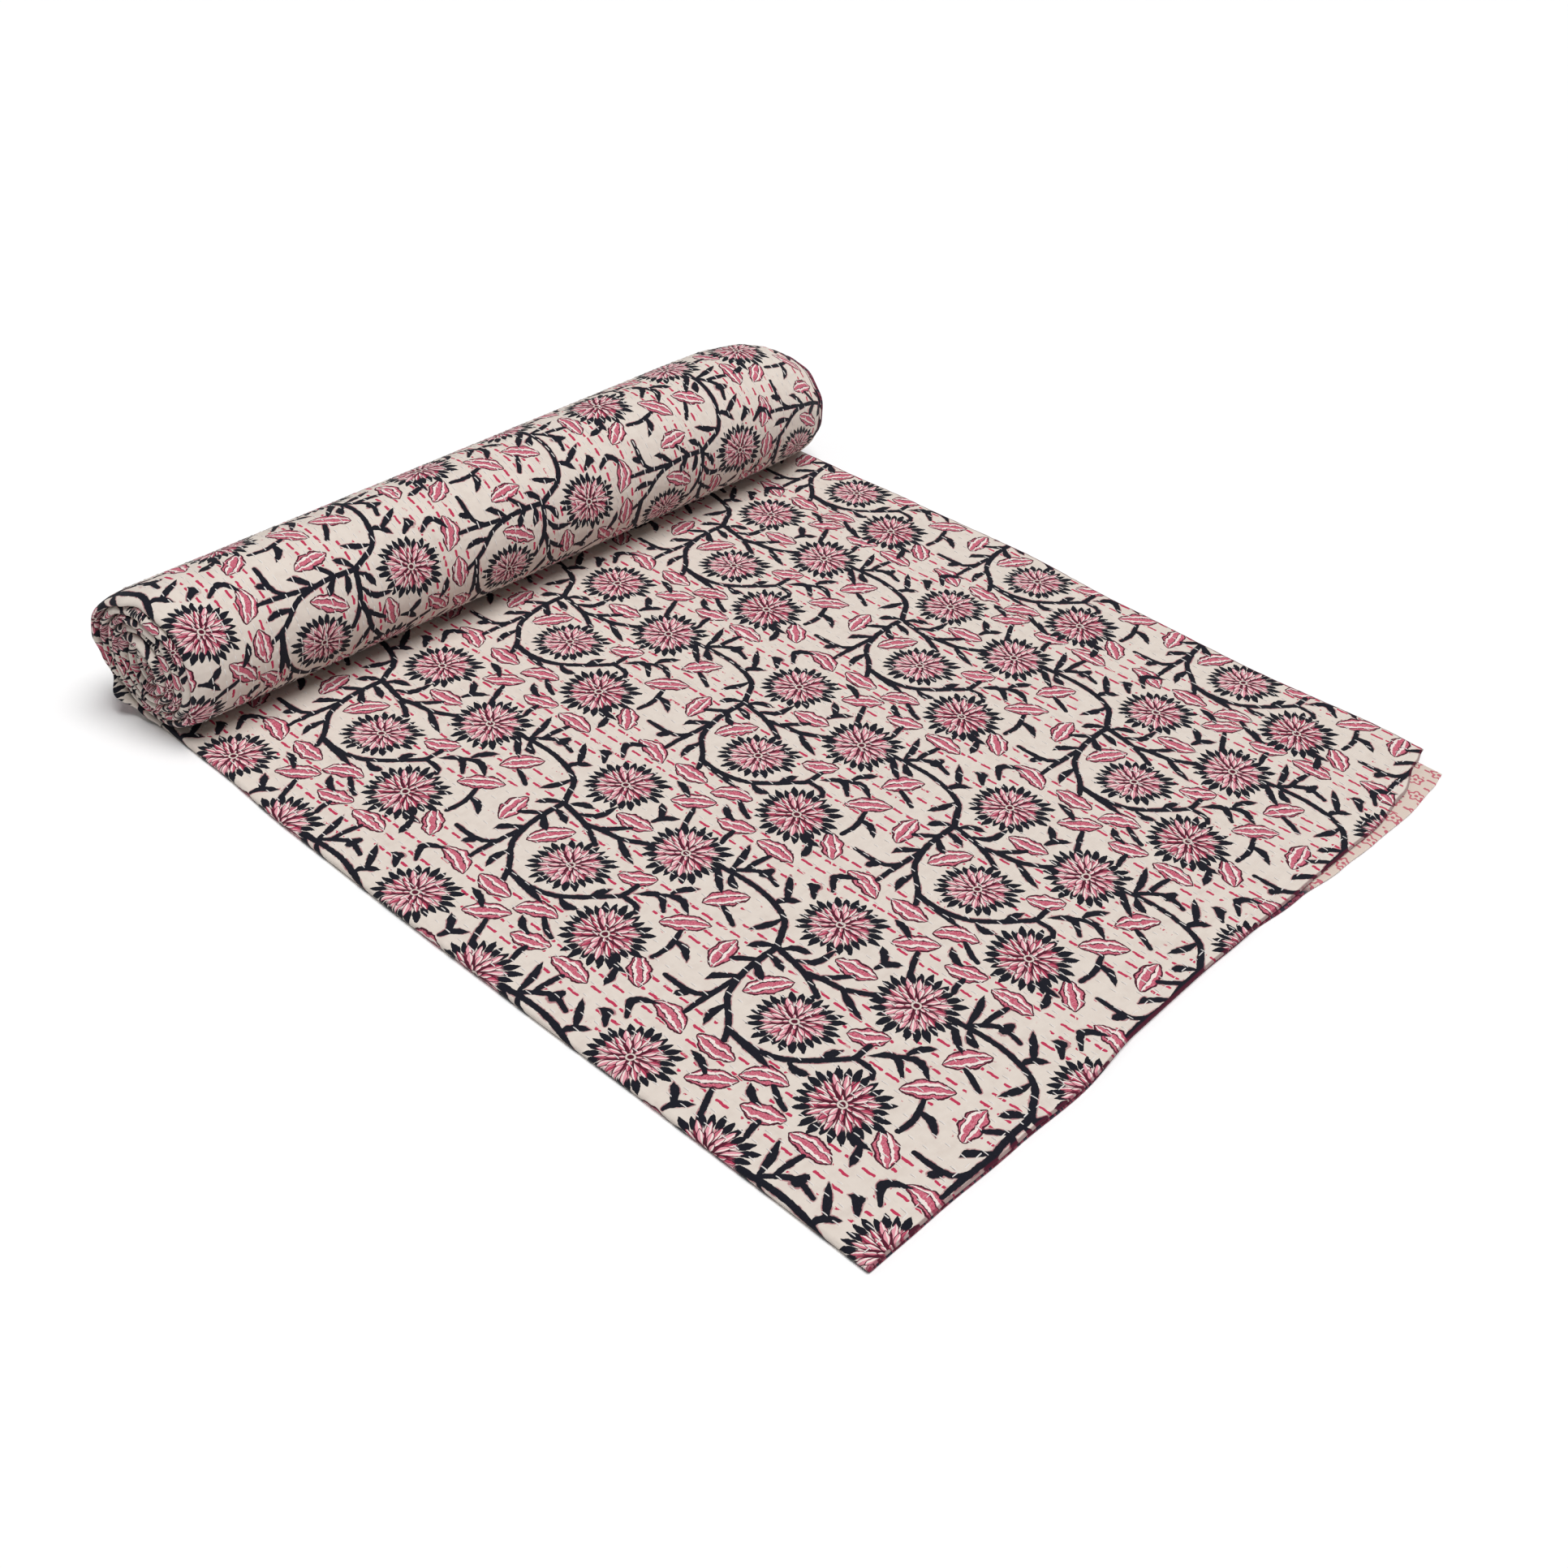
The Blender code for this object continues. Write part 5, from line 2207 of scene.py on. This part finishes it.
@dataclass(frozen=True)
class Studio:
    """A plain pale floor, soft light from above, and the camera at the photograph's place."""

    floor_half: float = 9.0
    floor_drop: float = 0.2 * MM
    floor_colour: Colour = linear(250, 250, 250)
    sky: Colour = linear(255, 255, 255)
    sky_strength: float = 0.20
    key_from: tuple[float, float, float] = (0.27, 0.05, 1.0)
    key_strength: float = 2.84
    key_spread_deg: float = 36.0
    lens_mm: float = 41.8655
    sensor_mm: float = 36.0
    camera_place: tuple[float, float, float] = (0.789228, -0.962156, 0.915934)
    camera_turn_deg: tuple[float, float, float] = (52.0730, -3.6448, 42.3652)

    def camera(self) -> None:
        """Adds the camera."""
        lens = bpy.data.cameras.new("camera")
        lens.lens = self.lens_mm
        lens.sensor_width = self.sensor_mm
        holder = in_scene("camera", lens)
        holder.location = self.camera_place
        holder.rotation_euler = [math.radians(angle) for angle in self.camera_turn_deg]
        bpy.context.scene.camera = holder

    def floor(self) -> None:
        """Adds the floor, just under the quilt."""
        mesh = bpy.data.meshes.new("floor")
        signs = ((-1, -1), (1, -1), (1, 1), (-1, 1))
        corners = [(x * self.floor_half, y * self.floor_half, -self.floor_drop) for x, y in signs]
        mesh.from_pydata(corners, [], [(0, 1, 2, 3)])
        look = bpy.data.materials.new("pale floor")
        look.use_nodes = True
        shader = look.node_tree.nodes["Principled BSDF"]
        shader.inputs["Base Color"].default_value = self.floor_colour
        shader.inputs["Roughness"].default_value = 0.9
        shader.inputs["Specular IOR Level"].default_value = 0.1
        mesh.materials.append(look)
        floor = in_scene("floor", mesh)

    def light(self) -> None:
        """Adds the pale surroundings and the one soft lamp."""
        world = bpy.data.worlds.new("studio")
        world.use_nodes = True
        ground = world.node_tree.nodes["Background"]
        ground.inputs["Color"].default_value = self.sky
        ground.inputs["Strength"].default_value = self.sky_strength
        bpy.context.scene.world = world
        lamp = bpy.data.lights.new("key", "SUN")
        lamp.energy = self.key_strength
        lamp.angle = math.radians(self.key_spread_deg)
        key = in_scene("key", lamp)
        key.rotation_euler = Vector(self.key_from).to_track_quat("Z", "Y").to_euler()
        bpy.context.scene.view_settings.view_transform = "Standard"


# ------------------------------------------------------------------ the quilt


@dataclass
class Quilt:
    """The whole quilt: its cloth pieces, and the stitches on them."""

    loose: LooseEnd
    roll: Roll
    stitches: RunningStitches

    def cloth(self, looks: tuple[bpy.types.Material, ...]) -> list[bpy.types.Object]:
        """Builds and places the cloth pieces.

        Args:
            looks: the printed face's material and the reverse's.

        Returns:
            The pieces.
        """
        roll = self.roll
        last_turn = FORM.last_turn_deg(FORM.width)
        inner_wound = roll.wound_length(roll.skin_end_deg, last_turn)
        skin_wound = roll.wound_length(0.0, roll.skin_end_deg)
        strip = roll.end_depth * 2.0
        plans = (
            # the piece, and its flat size
            (self.loose.upper(), (FORM.flat_run, FORM.width)),
            (self.loose.lower(), (FORM.flat_run, FORM.width)),
            (roll.outer_turn(), (skin_wound, FORM.width + strip)),
            (roll.folded_turns(), (inner_wound * roll.folded_end_share, strip)),
            (roll.open_turns("outer"), (inner_wound, strip)),
            (roll.open_turns("inner"), (roll.wound_length(0.0, last_turn), strip)),
        )
        pieces = []
        for mesh, flat in plans:
            chart = np.vstack(mesh.charts)[:, :2]
            piece = mesh.built(looks, BlockPrint(chart.min(axis=0), chart.max(axis=0)))
            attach(piece, BODY)
            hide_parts(SOLID)
            pieces.append(piece)
        return pieces

    def sewing(self, thread: bpy.types.Material) -> list[bpy.types.Object]:
        """Lays the stitches.

        Args:
            thread: their material.

        Returns:
            The pieces.
        """
        pieces = [
            self.stitches.laid("stitches_loose_end", *self.loose.stitch_places(), thread),
            self.stitches.laid("stitches_roll", *self.roll.stitch_places(), thread),
        ]
        for piece in pieces:
            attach(piece, BODY)
        return pieces


def main() -> None:
    """Builds the quilt and its studio, piece by piece."""
    logging.basicConfig(level=logging.INFO, format="%(name)s: %(message)s")
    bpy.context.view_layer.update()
    effects = SharedEffects.made()
    looks = (PrintedCotton().made(effects), ReverseCotton().made(effects))
    quilt = Quilt(LooseEnd(), Roll(), RunningStitches())
    quilt.cloth(looks)
    quilt.sewing(WhiteThread().made())
    studio = Studio()
    studio.camera()
    studio.floor()
    studio.light()


if __name__ == "__main__":
    main()
